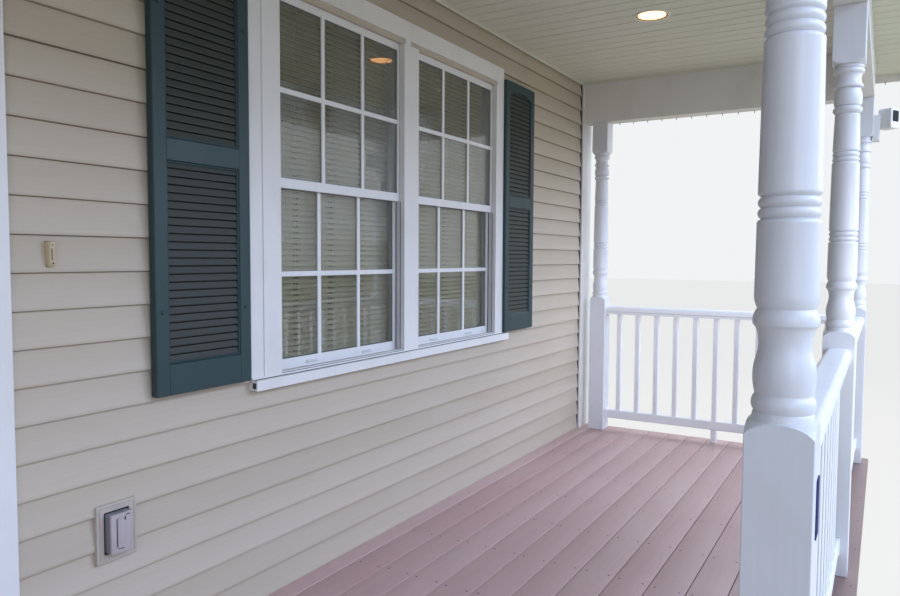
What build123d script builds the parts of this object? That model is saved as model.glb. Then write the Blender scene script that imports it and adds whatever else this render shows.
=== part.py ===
"""Covered front porch: three bays of turned posts against a strip of house wall.

Millimetres. +X runs along the house wall, the street side faces -Y, +Z is up.
The origin is on the ground, in the middle of the plan.
"""

import os
from math import ceil
from build123d import *

os.makedirs("parts", exist_ok=True)

# Plan
BAY = 1885.5  # centre to centre of the front posts
BAYS = 3
POST = 114.3  # square blank the posts are turned from
DECK_EDGE_OUT = 1885.0  # siding face to the front edge of the deck
DECK_PAST_POST = 38.0  # deck past the faces of the posts
WALL_POST_GAP = 75.0  # siding face to the back of the posts beside the wall
WALL_CORE = 150.0
SIDING_T = 15.0  # siding face to the face of the wall behind it
CORNER_T = 12.0  # corner board in front of the siding face
CORNER_W = 174.0
CORNER_PAST_DECK = 4.0

# Heights, from the ground or from the deck's top
RISERS = 3
RISER = 178.0
BEAM_BOTTOM = 2247.0  # above the deck
BEAM_H = 286.0
SOFFIT_UP = 205.0  # soffit above the underside of the beams
FASCIA_LIP = 46.0  # fascia below the soffit
COURSE = 101.6  # one course of siding
LAP = 11.0  # lean of one course
SIDING_OVER_ROOF = 100.0  # least height of siding above the roof
FOUNDATION_H = 240.0

# Deck and steps
BOARD = 136.0
BOARD_GAP = 2.8
BOARD_T = 25.0
JOIST_H = 184.0
JOIST_T = 38.0
JOISTS = 15
RIM_T = 25.0
RIM_INSET = 25.0  # deck boards past the rim
RIM_H = 235.0
GIRDER_H = 120.0
GIRDER_T = 76.0
GIRDER_IN = 245.0  # centre of the girder from the front edge of the deck
PIER = 200.0
SKIRT_T = 19.0
TREAD_RUN = 280.0
TREAD_NOSING = 25.0  # tread past its riser board
STEP_W = 1700.0
STRINGERS = 4
RISER_T = 19.0

# Railings
RAIL_TOP = 914.0
RAIL_T = 57.0
RAIL_W = 92.0
RAIL_ROUND = 14.0
LOW_RAIL_BOTTOM = 90.0
LOW_RAIL_T = 60.0
LOW_RAIL_W = 50.0
BALUSTER = 32.0
BALUSTER_PITCH = 135.0
FOOT = 35.0

# Turned posts: radius with height above the lower block, then radius with depth below the beam
BLOCK_OVER_RAIL = 36.0
TURNING_SIDES = 20
LOW_TURNING = (
    (52.0, 31.0), (50.0, 44.0), (54.0, 53.0), (54.0, 64.0), (49.0, 74.0), (52.5, 104.0),
    (44.0, 161.0), (49.5, 193.0), (54.5, 203.0), (54.5, 221.0), (49.5, 228.0), (53.5, 250.0),
)
HIGH_TURNING = (
    (44.5, 412.0), (52.5, 399.0), (44.5, 381.0), (51.0, 354.0), (43.5, 313.0), (53.5, 306.0),
    (44.5, 281.0), (47.5, 258.0), (55.5, 246.0), (51.5, 226.0),
)
HIGH_BLOCK = 197.0

# Roof
ROOF_PITCH = 1.0 / 3.0
EAVE_OVER = 360.0  # post centres to the face of the fascia
FASCIA_T = 25.0
DRIP = 25.0  # roof past the fascia
SOFFIT_T = 12.0
CEILING_T = 12.0
CEILING_SEAT = 44.0  # ceiling on top of the beams
BIRDSMOUTH = 30.0
RAFTER_V = 130.0  # upright depth of a rafter
RAFTER_T = 38.0
RAFTER_PITCH = 400.0
RAFTERS = 5
ROOF_V = 60.0  # upright depth of the roof boards and shingles

# Ceiling light
LIGHT_X = 1512.0
LIGHT_OUT = 848.0
LIGHT_HOLE_R = 77.0
LIGHT_TRIM_R = 95.0
LIGHT_TRIM_T = 4.0
LENS_R = 73.0
LENS_T = 6.0

# Windows
WINDOW_X = 511.0  # centre of the twin window
CLEAR_W = 804.5  # between the casing boards, each window
CLEAR_BOTTOM = 829.0  # above the deck
CLEAR_H = 1415.0
MULLION = 119.0
CASING_W = 90.0
CASING_T = 12.0  # casing in front of the siding face
SIDE_TRIM_W = 60.0  # flat strip left of the casing
SIDE_TRIM_T = 8.0
HEADER_H = 84.0
STRIP_H = 23.0  # siding-coloured strip under the header
STRIP_T = 2.0
STRIP_PAST = 12.0  # strips past the outer clear edges
BRIDGE_X = 482.0
BRIDGE_W = 38.0
SILL_H = 37.0
SILL_OUT = 30.0
SILL_LIP_H = 9.0
SILL_LIP_OUT = 14.0
SILL_LEFT = 5.0  # sill short of the flat strip's edge
SILL_RIGHT = 54.0  # sill past the casing
FRAME_T = 10.0
FRAME_D = 100.0
SASH_T = 25.0
STILE = 26.5
UPPER_TOP_RAIL = 40.0
UPPER_LOW_RAIL = 37.0
LOWER_TOP_RAIL = 35.0
LOWER_LOW_RAIL = 41.0
MEETING_UP = 695.0  # foot of the upper sash above the foot of the lower
MUNTIN = 19.0
MUNTIN_T = 5.0
MUNTIN_IN = 1.0
GLASS_T = 4.0
UPPER_SASH_IN = 17.0  # siding face to the face of the upper sash
BLIND_IN = 90.0
BLIND_T = 3.0
BLIND_GAP = 5.0

# Shutters
SHUTTER_W = 388.0
SHUTTER_H = 1467.0
SHUTTER_BOTTOM = 827.0  # above the deck
SHUTTER_T = 30.0
SHUTTER_STILE = 48.0
SHUTTER_LOW_RAIL = 99.0
SHUTTER_MID_RAIL = 70.0
SHUTTER_MID_UP = 734.0  # foot of the mid rail above the shutter's foot
SHUTTER_TOP_RAIL = 76.0  # at the stiles
ARCH_RISE = 29.0
SHUTTER_GAP = 21.0  # left shutter to the flat strip
LOUVRE = 25.4
LOUVRE_BUTT = 22.0  # lower edge of a louvre in front of the siding face
LOUVRE_HEAD = 14.0
SHUTTER_BACK = 9.0

# Door
DOOR_W = 914.0
DOOR_H = 2032.0
DOOR_T = 44.5
DOOR_FRAME_T = 32.0
DOOR_CLEAR = 3.0
THRESHOLD = 32.0
DOOR_IN = 30.0  # siding face to the face of the door
DOOR_STOP = 12.0
DOOR_REVEAL = 6.0
DOOR_STILE = 115.0
DOOR_MUNTIN = 100.0
PANEL_BAND = 28.0
PANEL_CUT = 9.0
PANEL_RAISE = 6.0
PANEL_ROWS = ((240.0, 720.0), (860.0, 1540.0), (1650.0, 1912.0))  # above the leaf's foot
HANDLE_UP = 930.0
HANDLE_IN = 60.0  # from the leaf's edge
HANDLE_PLATE = 64.0
HANDLE_PLATE_T = 8.0
HANDLE_BAR = 18.0
HANDLE_OUT = 55.0
HANDLE_LEN = 125.0

# Doorbell, outlet and camera
BELL_X = -1219.0
BELL_UP = 1269.0  # above the deck
BELL_W = 20.0
BELL_H = 70.0
BELL_OUT = 16.0
OUTLET_X = -1042.0
OUTLET_UP = 451.0  # above the deck
BLOCK_W = 130.0
BLOCK_H = 172.0
BLOCK_OUT = 8.0
POCKET_GAP = 4.5  # between the cover and its pocket's sides
POCKET_DEPTH = 10.0
COVER_W = 74.0
COVER_H = 116.0
COVER_OUT = 40.0
COVER_ROUND = 3.0
CAMERA_BASE_TOP = 107.0  # below the beam
CAMERA_BASE_H = 158.0
CAMERA_BASE_W = 60.0
CAMERA_BASE_OUT = 38.0
CAMERA_TOP = 72.0  # below the beam
CAMERA_H = 128.0
CAMERA_W = 90.0
CAMERA_D = 100.0
CAMERA_LAP = 9.0  # head over the base

# Values that follow from the sizes above
DECK_TOP = RISERS * RISER
END_X = BAY * BAYS / 2
POST_X = [-END_X + BAY * i for i in range(BAYS + 1)]
DECK_HALF = END_X + POST / 2 + DECK_PAST_POST
WALL_HALF = DECK_HALF + CORNER_PAST_DECK
POST_OUT = DECK_EDGE_OUT - DECK_PAST_POST - POST / 2
EAVE_OUT = POST_OUT + EAVE_OVER
STEP_OUT = DECK_EDGE_OUT - RIM_INSET + (RISERS - 1) * TREAD_RUN + RISER_T + TREAD_NOSING
WALL_BACK = SIDING_T + WALL_CORE
WALL_Y = (STEP_OUT - WALL_BACK) / 2  # siding face
POST_Y = WALL_Y - POST_OUT
WALL_POST_Y = WALL_Y - WALL_POST_GAP - POST / 2
CORE_Y = WALL_Y + SIDING_T
BACK_Y = WALL_Y + WALL_BACK
DECK_FRONT_Y = WALL_Y - DECK_EDGE_OUT
POST_TOP = DECK_TOP + BEAM_BOTTOM
CEILING_Z = POST_TOP + BEAM_H
SOFFIT_Z = POST_TOP + SOFFIT_UP
BEAM_FACE_Y = POST_Y - POST / 2
SEAT_Y = BEAM_FACE_Y + BIRDSMOUTH
EAVE_Y = WALL_Y - EAVE_OUT
DRIP_Y = EAVE_Y - DRIP
ROOF_EAVE_Z = CEILING_Z + (DRIP_Y - SEAT_Y) * ROOF_PITCH + RAFTER_V
ROOF_RISE = (WALL_Y - DRIP_Y) * ROOF_PITCH
ROOF_PEAK_Z = ROOF_EAVE_Z + ROOF_RISE + ROOF_V
COURSES = ceil((ROOF_PEAK_Z + SIDING_OVER_ROOF - DECK_TOP) / COURSE)
WALL_TOP = DECK_TOP + COURSE * COURSES
DOOR_X = -BAY
BELL_Z = DECK_TOP + BELL_UP
OUTLET_Z = DECK_TOP + OUTLET_UP


def slab(x0, x1, y0, y1, z0, z1, mode=Mode.ADD):
    """Box between two corners, in the part being built."""
    with Locations(((x0 + x1) / 2, (y0 + y1) / 2, (z0 + z1) / 2)):
        Box(x1 - x0, y1 - y0, z1 - z0, mode=mode)


def corner_notch(z0, z1):
    """Cut the part being built back from the corner boards."""
    for side in (-1, 1):
        x0, x1 = sorted((side * (WALL_HALF - CORNER_W), side * WALL_HALF))
        slab(x0, x1, WALL_Y - CORNER_T, CORE_Y, z0, z1, mode=Mode.SUBTRACT)


def save(part, name):
    """Label a finished piece and write its STEP file."""
    part.label = name
    export_step(part, f"parts/{name}.step")


# Deck boards, laid from the front edge back to the wall
with BuildPart() as deck_boards:
    y = DECK_FRONT_Y
    while y + BOARD < CORE_Y:
        slab(-DECK_HALF, DECK_HALF, y, y + BOARD, DECK_TOP - BOARD_T, DECK_TOP)
        y += BOARD + BOARD_GAP
    slab(-DECK_HALF, DECK_HALF, y, CORE_Y, DECK_TOP - BOARD_T, DECK_TOP)
save(deck_boards.part, "deck_boards")

# Rim boards under the deck's edge
BOARD_UNDER = DECK_TOP - BOARD_T
RIM_HALF = DECK_HALF - RIM_INSET
RIM_FRONT_Y = DECK_FRONT_Y + RIM_INSET
with BuildPart() as rim_front:
    slab(-RIM_HALF, RIM_HALF, RIM_FRONT_Y, RIM_FRONT_Y + RIM_T, BOARD_UNDER - RIM_H, BOARD_UNDER)
save(rim_front.part, "rim_front")
with BuildPart() as rim_ends:
    for side in (-1, 1):
        x0, x1 = sorted((side * RIM_HALF, side * (RIM_HALF - RIM_T)))
        slab(x0, x1, RIM_FRONT_Y + RIM_T, CORE_Y, BOARD_UNDER - RIM_H, BOARD_UNDER)
save(rim_ends.part, "rim_ends")

# Joists from the front rim to the wall
JOIST_UNDER = BOARD_UNDER - JOIST_H
INNER_HALF = RIM_HALF - RIM_T
with BuildPart() as deck_joists:
    for i in range(JOISTS):
        x = -INNER_HALF + JOIST_T / 2 + i * (2 * INNER_HALF - JOIST_T) / (JOISTS - 1)
        slab(x - JOIST_T / 2, x + JOIST_T / 2, RIM_FRONT_Y + RIM_T, CORE_Y, JOIST_UNDER, BOARD_UNDER)
save(deck_joists.part, "deck_joists")

# Girder under the joists and the piers that carry it
GIRDER_UNDER = JOIST_UNDER - GIRDER_H
GIRDER_Y = DECK_FRONT_Y + GIRDER_IN
with BuildPart() as deck_girder:
    slab(-INNER_HALF, INNER_HALF, GIRDER_Y - GIRDER_T / 2, GIRDER_Y + GIRDER_T / 2, GIRDER_UNDER, JOIST_UNDER)
save(deck_girder.part, "deck_girder")
END_PIER_X = RIM_HALF - SKIRT_T - PIER / 2
with BuildPart() as piers:
    for i in range(BAYS + 1):
        px = -END_PIER_X + i * 2 * END_PIER_X / BAYS
        slab(px - PIER / 2, px + PIER / 2, GIRDER_Y - PIER / 2, GIRDER_Y + PIER / 2, 0, GIRDER_UNDER)
save(piers.part, "piers")

# Skirt boards that close the space under the deck
RIM_UNDER = BOARD_UNDER - RIM_H
with BuildPart() as skirt_front:
    slab(-RIM_HALF, RIM_HALF, RIM_FRONT_Y, RIM_FRONT_Y + SKIRT_T, 0, RIM_UNDER)
save(skirt_front.part, "skirt_front")
with BuildPart() as skirt_ends:
    for side in (-1, 1):
        x0, x1 = sorted((side * RIM_HALF, side * (RIM_HALF - SKIRT_T)))
        slab(x0, x1, RIM_FRONT_Y + SKIRT_T, CORE_Y, 0, RIM_UNDER)
save(skirt_ends.part, "skirt_ends")

# Steps in front of the open bay: saw-tooth stringers, risers and treads
TREAD_UNDERS = [RISER * (i + 1) - BOARD_T for i in range(RISERS - 1)]
STEP_Y = [RIM_FRONT_Y - TREAD_RUN * (RISERS - 1 - i) for i in range(RISERS)]
with BuildPart() as step_stringers:
    for i in range(STRINGERS):
        sx = DOOR_X - STEP_W / 2 + JOIST_T + i * (STEP_W - 3 * JOIST_T) / (STRINGERS - 1)
        with BuildSketch(Plane.YZ.offset(sx)):
            with BuildLine():
                Polyline(
                    (STEP_Y[0], 0),
                    (STEP_Y[0], TREAD_UNDERS[0]),
                    (STEP_Y[1], TREAD_UNDERS[0]),
                    (STEP_Y[1], TREAD_UNDERS[1]),
                    (STEP_Y[2], TREAD_UNDERS[1]),
                    (STEP_Y[2], 0),
                    close=True,
                )
            make_face()
        extrude(amount=JOIST_T)
save(step_stringers.part, "step_stringers")
with BuildPart() as step_risers:
    for i in range(RISERS - 1):
        z0 = 0 if i == 0 else TREAD_UNDERS[i - 1] + BOARD_T
        slab(DOOR_X - STEP_W / 2, DOOR_X + STEP_W / 2, STEP_Y[i] - RISER_T, STEP_Y[i], z0, TREAD_UNDERS[i])
save(step_risers.part, "step_risers")
with BuildPart() as step_treads:
    for i in range(RISERS - 1):
        front = STEP_Y[i] - RISER_T - TREAD_NOSING
        back = STEP_Y[i + 1] - (RISER_T if i + 1 < RISERS - 1 else 0)
        middle = (front + back) / 2
        for y0, y1 in ((front, middle - BOARD_GAP / 2), (middle + BOARD_GAP / 2, back)):
            slab(DOOR_X - STEP_W / 2 - TREAD_NOSING, DOOR_X + STEP_W / 2 + TREAD_NOSING, y0, y1,
                 TREAD_UNDERS[i], TREAD_UNDERS[i] + BOARD_T)
save(step_treads.part, "step_treads")

# Turned posts: a many-sided turning lofted through its rings, then trimmed to the
# square blank, so that the square blocks end in arched shoulders
BLANK_R = POST * 0.75
BLOCK_TOP = RAIL_TOP + BLOCK_OVER_RAIL
rings = [(BLANK_R, 0.0), (BLANK_R, BLOCK_TOP)]
rings += [(radius, BLOCK_TOP + up) for radius, up in LOW_TURNING]
rings += [(radius, BEAM_BOTTOM - down) for radius, down in HIGH_TURNING]
rings += [(BLANK_R, BEAM_BOTTOM - HIGH_BLOCK), (BLANK_R, BEAM_BOTTOM)]
with BuildPart() as post:
    for radius, up in rings:
        with BuildSketch(Plane.XY.offset(up)):
            RegularPolygon(radius, TURNING_SIDES)
    loft(ruled=True)
    with Locations((0, 0, BEAM_BOTTOM / 2)):
        Box(POST, POST, BEAM_BOTTOM, mode=Mode.INTERSECT)
with BuildPart() as posts_front:
    with Locations(*[(px, POST_Y, DECK_TOP) for px in POST_X]):
        add(post.part)
save(posts_front.part, "posts_front")
with BuildPart() as posts_wall:
    with Locations((-END_X, WALL_POST_Y, DECK_TOP), (END_X, WALL_POST_Y, DECK_TOP)):
        add(post.part)
save(posts_wall.part, "posts_wall")

# Railings between the posts of the two closed bays, and at both ends
LOW_RAIL_TOP = LOW_RAIL_BOTTOM + LOW_RAIL_T
RAIL_UNDER = RAIL_TOP - RAIL_T
half = (BAY - POST) / 2
FRONT_GAPS = round(2 * half / BALUSTER_PITCH)
with BuildPart() as railings_front:
    for i in range(1, BAYS):
        middle = (POST_X[i] + POST_X[i + 1]) / 2
        with BuildSketch(Plane.YZ.offset(middle - half)) as top_section:
            with Locations((POST_Y, DECK_TOP + RAIL_TOP - RAIL_T / 2)):
                Rectangle(RAIL_W, RAIL_T)
            fillet(top_section.vertices().group_by(Axis.Y)[-1], RAIL_ROUND)
        extrude(amount=2 * half)
        slab(middle - half, middle + half, POST_Y - LOW_RAIL_W / 2, POST_Y + LOW_RAIL_W / 2,
             DECK_TOP + LOW_RAIL_BOTTOM, DECK_TOP + LOW_RAIL_TOP)
        slab(middle - FOOT / 2, middle + FOOT / 2, POST_Y - FOOT / 2, POST_Y + FOOT / 2,
             DECK_TOP, DECK_TOP + LOW_RAIL_BOTTOM)
        for n in range(1, FRONT_GAPS):
            bx = middle - half + n * 2 * half / FRONT_GAPS
            slab(bx - BALUSTER / 2, bx + BALUSTER / 2, POST_Y - BALUSTER / 2, POST_Y + BALUSTER / 2,
                 DECK_TOP + LOW_RAIL_TOP, DECK_TOP + RAIL_UNDER)
save(railings_front.part, "railings_front")
END_FROM = POST_Y + POST / 2
END_TO = WALL_POST_Y - POST / 2
END_BALUSTERS = int((END_TO - END_FROM) / BALUSTER_PITCH)
middle = (END_FROM + END_TO) / 2
with BuildPart() as railings_ends:
    for x in (-END_X, END_X):
        with BuildSketch(Plane.XZ.offset(-END_FROM)) as top_section:
            with Locations((x, DECK_TOP + RAIL_TOP - RAIL_T / 2)):
                Rectangle(RAIL_W, RAIL_T)
            fillet(top_section.vertices().group_by(Axis.Y)[-1], RAIL_ROUND)
        extrude(amount=END_FROM - END_TO)
        slab(x - LOW_RAIL_W / 2, x + LOW_RAIL_W / 2, END_FROM, END_TO,
             DECK_TOP + LOW_RAIL_BOTTOM, DECK_TOP + LOW_RAIL_TOP)
        slab(x - FOOT / 2, x + FOOT / 2, middle - FOOT / 2, middle + FOOT / 2,
             DECK_TOP, DECK_TOP + LOW_RAIL_BOTTOM)
        for n in range(END_BALUSTERS):
            by = middle + (n - (END_BALUSTERS - 1) / 2) * BALUSTER_PITCH
            slab(x - BALUSTER / 2, x + BALUSTER / 2, by - BALUSTER / 2, by + BALUSTER / 2,
                 DECK_TOP + LOW_RAIL_TOP, DECK_TOP + RAIL_UNDER)
save(railings_ends.part, "railings_ends")

# Boxed beams on the posts
with BuildPart() as beam_front:
    slab(-END_X - POST / 2, END_X + POST / 2, POST_Y - POST / 2, POST_Y + POST / 2, POST_TOP, CEILING_Z)
save(beam_front.part, "beam_front")
with BuildPart() as beam_ends:
    for side in (-1, 1):
        slab(side * END_X - POST / 2, side * END_X + POST / 2, POST_Y + POST / 2, WALL_Y - CORNER_T,
             POST_TOP, CEILING_Z)
save(beam_ends.part, "beam_ends")

# Ceiling on the beams, with a hole for the recessed light
LIGHT_Y = WALL_Y - LIGHT_OUT
CEILING_HALF = END_X - POST / 2 + CEILING_SEAT
with BuildPart() as ceiling:
    slab(-CEILING_HALF, CEILING_HALF, POST_Y + POST / 2 - CEILING_SEAT, WALL_Y,
         CEILING_Z, CEILING_Z + CEILING_T)
    with Locations((LIGHT_X, LIGHT_Y, CEILING_Z)):
        Cylinder(LIGHT_HOLE_R, 4 * CEILING_T, mode=Mode.SUBTRACT)
    corner_notch(CEILING_Z, CEILING_Z + CEILING_T)
save(ceiling.part, "ceiling")

# Recessed light: trim ring under the ceiling, with the lens lying on it
with BuildPart() as light_trim:
    with Locations((LIGHT_X, LIGHT_Y, CEILING_Z - LIGHT_TRIM_T / 2)):
        Cylinder(LIGHT_TRIM_R, LIGHT_TRIM_T)
        Cylinder(LENS_R, LIGHT_TRIM_T, mode=Mode.SUBTRACT)
save(light_trim.part, "light_trim")
with BuildPart() as light_lens:
    with Locations((LIGHT_X, LIGHT_Y, CEILING_Z + LENS_T / 2)):
        Cylinder(LIGHT_HOLE_R, LENS_T)
save(light_lens.part, "light_lens")

# Rafters with a level seat on the beam, their tails cut level over the soffit
TAIL_Y = EAVE_Y + FASCIA_T
SOFFIT_TOP = SOFFIT_Z + SOFFIT_T
RAFTER_LOW_Y = SEAT_Y - (CEILING_Z - SOFFIT_TOP) / ROOF_PITCH
with BuildPart() as rafters:
    for i in range(RAFTERS):
        rafter_x = (i - (RAFTERS - 1) / 2) * RAFTER_PITCH
        with BuildSketch(Plane.YZ.offset(rafter_x - RAFTER_T / 2)):
            with BuildLine():
                Polyline(
                    (SEAT_Y, CEILING_Z),
                    (BEAM_FACE_Y, CEILING_Z),
                    (BEAM_FACE_Y, CEILING_Z + (BEAM_FACE_Y - SEAT_Y) * ROOF_PITCH),
                    (RAFTER_LOW_Y, SOFFIT_TOP),
                    (TAIL_Y, SOFFIT_TOP),
                    (TAIL_Y, CEILING_Z + (TAIL_Y - SEAT_Y) * ROOF_PITCH + RAFTER_V),
                    (WALL_Y, CEILING_Z + (WALL_Y - SEAT_Y) * ROOF_PITCH + RAFTER_V),
                    (WALL_Y, CEILING_Z + (WALL_Y - SEAT_Y) * ROOF_PITCH),
                    close=True,
                )
            make_face()
        extrude(amount=RAFTER_T)
save(rafters.part, "rafters")

# Hipped roof: a front slope and two end slopes that rise to the wall
ROOF_HALF = END_X + EAVE_OVER + DRIP
HIP_X = ROOF_HALF - (WALL_Y - DRIP_Y)
with BuildPart() as attic:
    with BuildSketch(Plane.YZ.offset(-ROOF_HALF)):
        with BuildLine():
            Polyline(
                (DRIP_Y, ROOF_EAVE_Z),
                (WALL_Y, ROOF_EAVE_Z),
                (WALL_Y, ROOF_EAVE_Z + ROOF_RISE),
                close=True,
            )
        make_face()
    extrude(amount=2 * ROOF_HALF)
    with BuildSketch(Plane.XZ.offset(-WALL_Y)):
        with BuildLine():
            Polyline(
                (-ROOF_HALF, ROOF_EAVE_Z),
                (ROOF_HALF, ROOF_EAVE_Z),
                (HIP_X, ROOF_EAVE_Z + ROOF_RISE),
                (-HIP_X, ROOF_EAVE_Z + ROOF_RISE),
                close=True,
            )
        make_face()
    extrude(amount=WALL_Y - DRIP_Y, mode=Mode.INTERSECT)
with BuildPart() as roof:
    with BuildSketch(Plane.YZ.offset(-ROOF_HALF)):
        with BuildLine():
            Polyline(
                (DRIP_Y, ROOF_EAVE_Z),
                (WALL_Y, ROOF_EAVE_Z),
                (WALL_Y, ROOF_PEAK_Z),
                (DRIP_Y, ROOF_EAVE_Z + ROOF_V),
                close=True,
            )
        make_face()
    extrude(amount=2 * ROOF_HALF)
    with BuildSketch(Plane.XZ.offset(-WALL_Y)):
        with BuildLine():
            Polyline(
                (-ROOF_HALF, ROOF_EAVE_Z),
                (ROOF_HALF, ROOF_EAVE_Z),
                (ROOF_HALF, ROOF_EAVE_Z + ROOF_V),
                (HIP_X, ROOF_PEAK_Z),
                (-HIP_X, ROOF_PEAK_Z),
                (-ROOF_HALF, ROOF_EAVE_Z + ROOF_V),
                close=True,
            )
        make_face()
    extrude(amount=WALL_Y - DRIP_Y, mode=Mode.INTERSECT)
    add(attic.part, mode=Mode.SUBTRACT)
    corner_notch(ROOF_EAVE_Z, ROOF_PEAK_Z)
save(roof.part, "roof")

# Fascia boards with tops cut to the roof's slope
FASCIA_Z = SOFFIT_Z - FASCIA_LIP
FASCIA_HALF = ROOF_HALF - DRIP
FASCIA_TOP = CEILING_Z + (EAVE_Y - SEAT_Y) * ROOF_PITCH + RAFTER_V
with BuildPart() as fascia_front:
    with BuildSketch(Plane.YZ.offset(-FASCIA_HALF)):
        with BuildLine():
            Polyline(
                (EAVE_Y, FASCIA_Z),
                (TAIL_Y, FASCIA_Z),
                (TAIL_Y, FASCIA_TOP + FASCIA_T * ROOF_PITCH),
                (EAVE_Y, FASCIA_TOP),
                close=True,
            )
        make_face()
    extrude(amount=2 * FASCIA_HALF)
    with BuildSketch(Plane.XZ.offset(-TAIL_Y)):
        with BuildLine():
            Polyline(
                (-FASCIA_HALF, FASCIA_Z),
                (FASCIA_HALF, FASCIA_Z),
                (FASCIA_HALF, FASCIA_TOP),
                (FASCIA_HALF - FASCIA_T, FASCIA_TOP + FASCIA_T * ROOF_PITCH),
                (-FASCIA_HALF + FASCIA_T, FASCIA_TOP + FASCIA_T * ROOF_PITCH),
                (-FASCIA_HALF, FASCIA_TOP),
                close=True,
            )
        make_face()
    extrude(amount=FASCIA_T, mode=Mode.INTERSECT)
save(fascia_front.part, "fascia_front")
with BuildPart() as fascia_ends:
    for side in (-1, 1):
        with BuildSketch(Plane.XZ.offset(-TAIL_Y)):
            with BuildLine():
                Polyline(
                    (side * FASCIA_HALF, FASCIA_Z),
                    (side * FASCIA_HALF, FASCIA_TOP),
                    (side * (FASCIA_HALF - FASCIA_T), FASCIA_TOP + FASCIA_T * ROOF_PITCH),
                    (side * (FASCIA_HALF - FASCIA_T), FASCIA_Z),
                    close=True,
                )
            make_face()
        extrude(amount=TAIL_Y - WALL_Y)
save(fascia_ends.part, "fascia_ends")

# Soffit outside the beams
SOFFIT_HALF = FASCIA_HALF - FASCIA_T
with BuildPart() as soffit:
    slab(-SOFFIT_HALF, SOFFIT_HALF, TAIL_Y, WALL_Y, SOFFIT_Z, SOFFIT_TOP)
    slab(-END_X - POST / 2, END_X + POST / 2, BEAM_FACE_Y, WALL_Y, SOFFIT_Z, SOFFIT_TOP, mode=Mode.SUBTRACT)
    corner_notch(SOFFIT_Z, SOFFIT_TOP)
save(soffit.part, "soffit")

# House wall: foundation, core with its openings, siding and corner boards
CORE_HALF = WALL_HALF - CORNER_T
CLEAR_Z = DECK_TOP + CLEAR_BOTTOM
CLEAR_TOP = CLEAR_Z + CLEAR_H
UNIT_X = [WINDOW_X - (CLEAR_W + MULLION) / 2, WINDOW_X + (CLEAR_W + MULLION) / 2]
SASH_W = CLEAR_W + 2 * FRAME_T
UNIT_W = SASH_W + 2 * FRAME_T
SASH_TO = CLEAR_TOP + FRAME_T
DOOR_OUT_W = DOOR_W + 2 * (DOOR_CLEAR + DOOR_FRAME_T)
DOOR_OUT_Z = DECK_TOP + THRESHOLD + DOOR_H + DOOR_CLEAR + DOOR_FRAME_T
with BuildPart() as foundation:
    slab(-CORE_HALF, CORE_HALF, CORE_Y, BACK_Y, 0, FOUNDATION_H)
save(foundation.part, "foundation")
with BuildPart() as front_wall:
    slab(-CORE_HALF, CORE_HALF, CORE_Y, BACK_Y, FOUNDATION_H, WALL_TOP)
    for ux in UNIT_X:
        slab(ux - UNIT_W / 2, ux + UNIT_W / 2, CORE_Y, BACK_Y, CLEAR_Z - FRAME_T, SASH_TO + FRAME_T,
             mode=Mode.SUBTRACT)
    slab(DOOR_X - DOOR_OUT_W / 2, DOOR_X + DOOR_OUT_W / 2, CORE_Y, BACK_Y, DECK_TOP, DOOR_OUT_Z,
         mode=Mode.SUBTRACT)
save(front_wall.part, "front_wall")

# Lapped siding: each course leans out to its butt edge; two flat strips of it lie
# under the header of the windows
STRIP_TOP = CLEAR_TOP + STRIP_H
HEADER_TOP = STRIP_TOP + HEADER_H
CASING_X0 = WINDOW_X - MULLION / 2 - CLEAR_W - CASING_W
CASING_X1 = WINDOW_X + MULLION / 2 + CLEAR_W + CASING_W
TRIM_X0 = CASING_X0 - SIDE_TRIM_W
SILL_X = (TRIM_X0 + SILL_LEFT, CASING_X1 + SILL_RIGHT)
LIP_Z = CLEAR_Z - SILL_LIP_H
SILL_Z = LIP_Z - SILL_H
DOOR_IN_HALF = DOOR_OUT_W / 2 - DOOR_FRAME_T + DOOR_REVEAL
DOOR_CASING_HALF = DOOR_IN_HALF + CASING_W
DOOR_CASING_Z = DOOR_OUT_Z - DOOR_FRAME_T + DOOR_REVEAL + CASING_W
strip_spans = (
    (CASING_X0 + CASING_W - STRIP_PAST, BRIDGE_X - BRIDGE_W / 2),
    (BRIDGE_X + BRIDGE_W / 2, CASING_X1 - CASING_W + STRIP_PAST),
)
with BuildPart() as siding:
    with BuildSketch(Plane.YZ.offset(-WALL_HALF + CORNER_W)):
        with BuildLine():
            points = [(CORE_Y, DECK_TOP)]
            for k in range(COURSES):
                points.append((WALL_Y, DECK_TOP + COURSE * k))
                points.append((WALL_Y + LAP, DECK_TOP + COURSE * (k + 1)))
            points.append((CORE_Y, WALL_TOP))
            Polyline(*points, close=True)
        make_face()
    extrude(amount=2 * (WALL_HALF - CORNER_W))
    slab(TRIM_X0, CASING_X1, WALL_Y, CORE_Y, LIP_Z, HEADER_TOP, mode=Mode.SUBTRACT)
    slab(*SILL_X, WALL_Y, CORE_Y, SILL_Z, LIP_Z, mode=Mode.SUBTRACT)
    slab(DOOR_X - DOOR_CASING_HALF, DOOR_X + DOOR_CASING_HALF, WALL_Y, CORE_Y,
         DECK_TOP, DOOR_CASING_Z, mode=Mode.SUBTRACT)
    slab(BELL_X - BELL_W / 2, BELL_X + BELL_W / 2, WALL_Y, CORE_Y,
         BELL_Z - BELL_H / 2, BELL_Z + BELL_H / 2, mode=Mode.SUBTRACT)
    slab(OUTLET_X - BLOCK_W / 2, OUTLET_X + BLOCK_W / 2, WALL_Y, CORE_Y,
         OUTLET_Z - BLOCK_H / 2, OUTLET_Z + BLOCK_H / 2, mode=Mode.SUBTRACT)
    for x0, x1 in strip_spans:
        slab(x0, x1, WALL_Y - STRIP_T, CORE_Y, CLEAR_TOP, STRIP_TOP)
save(siding.part, "siding")
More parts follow.
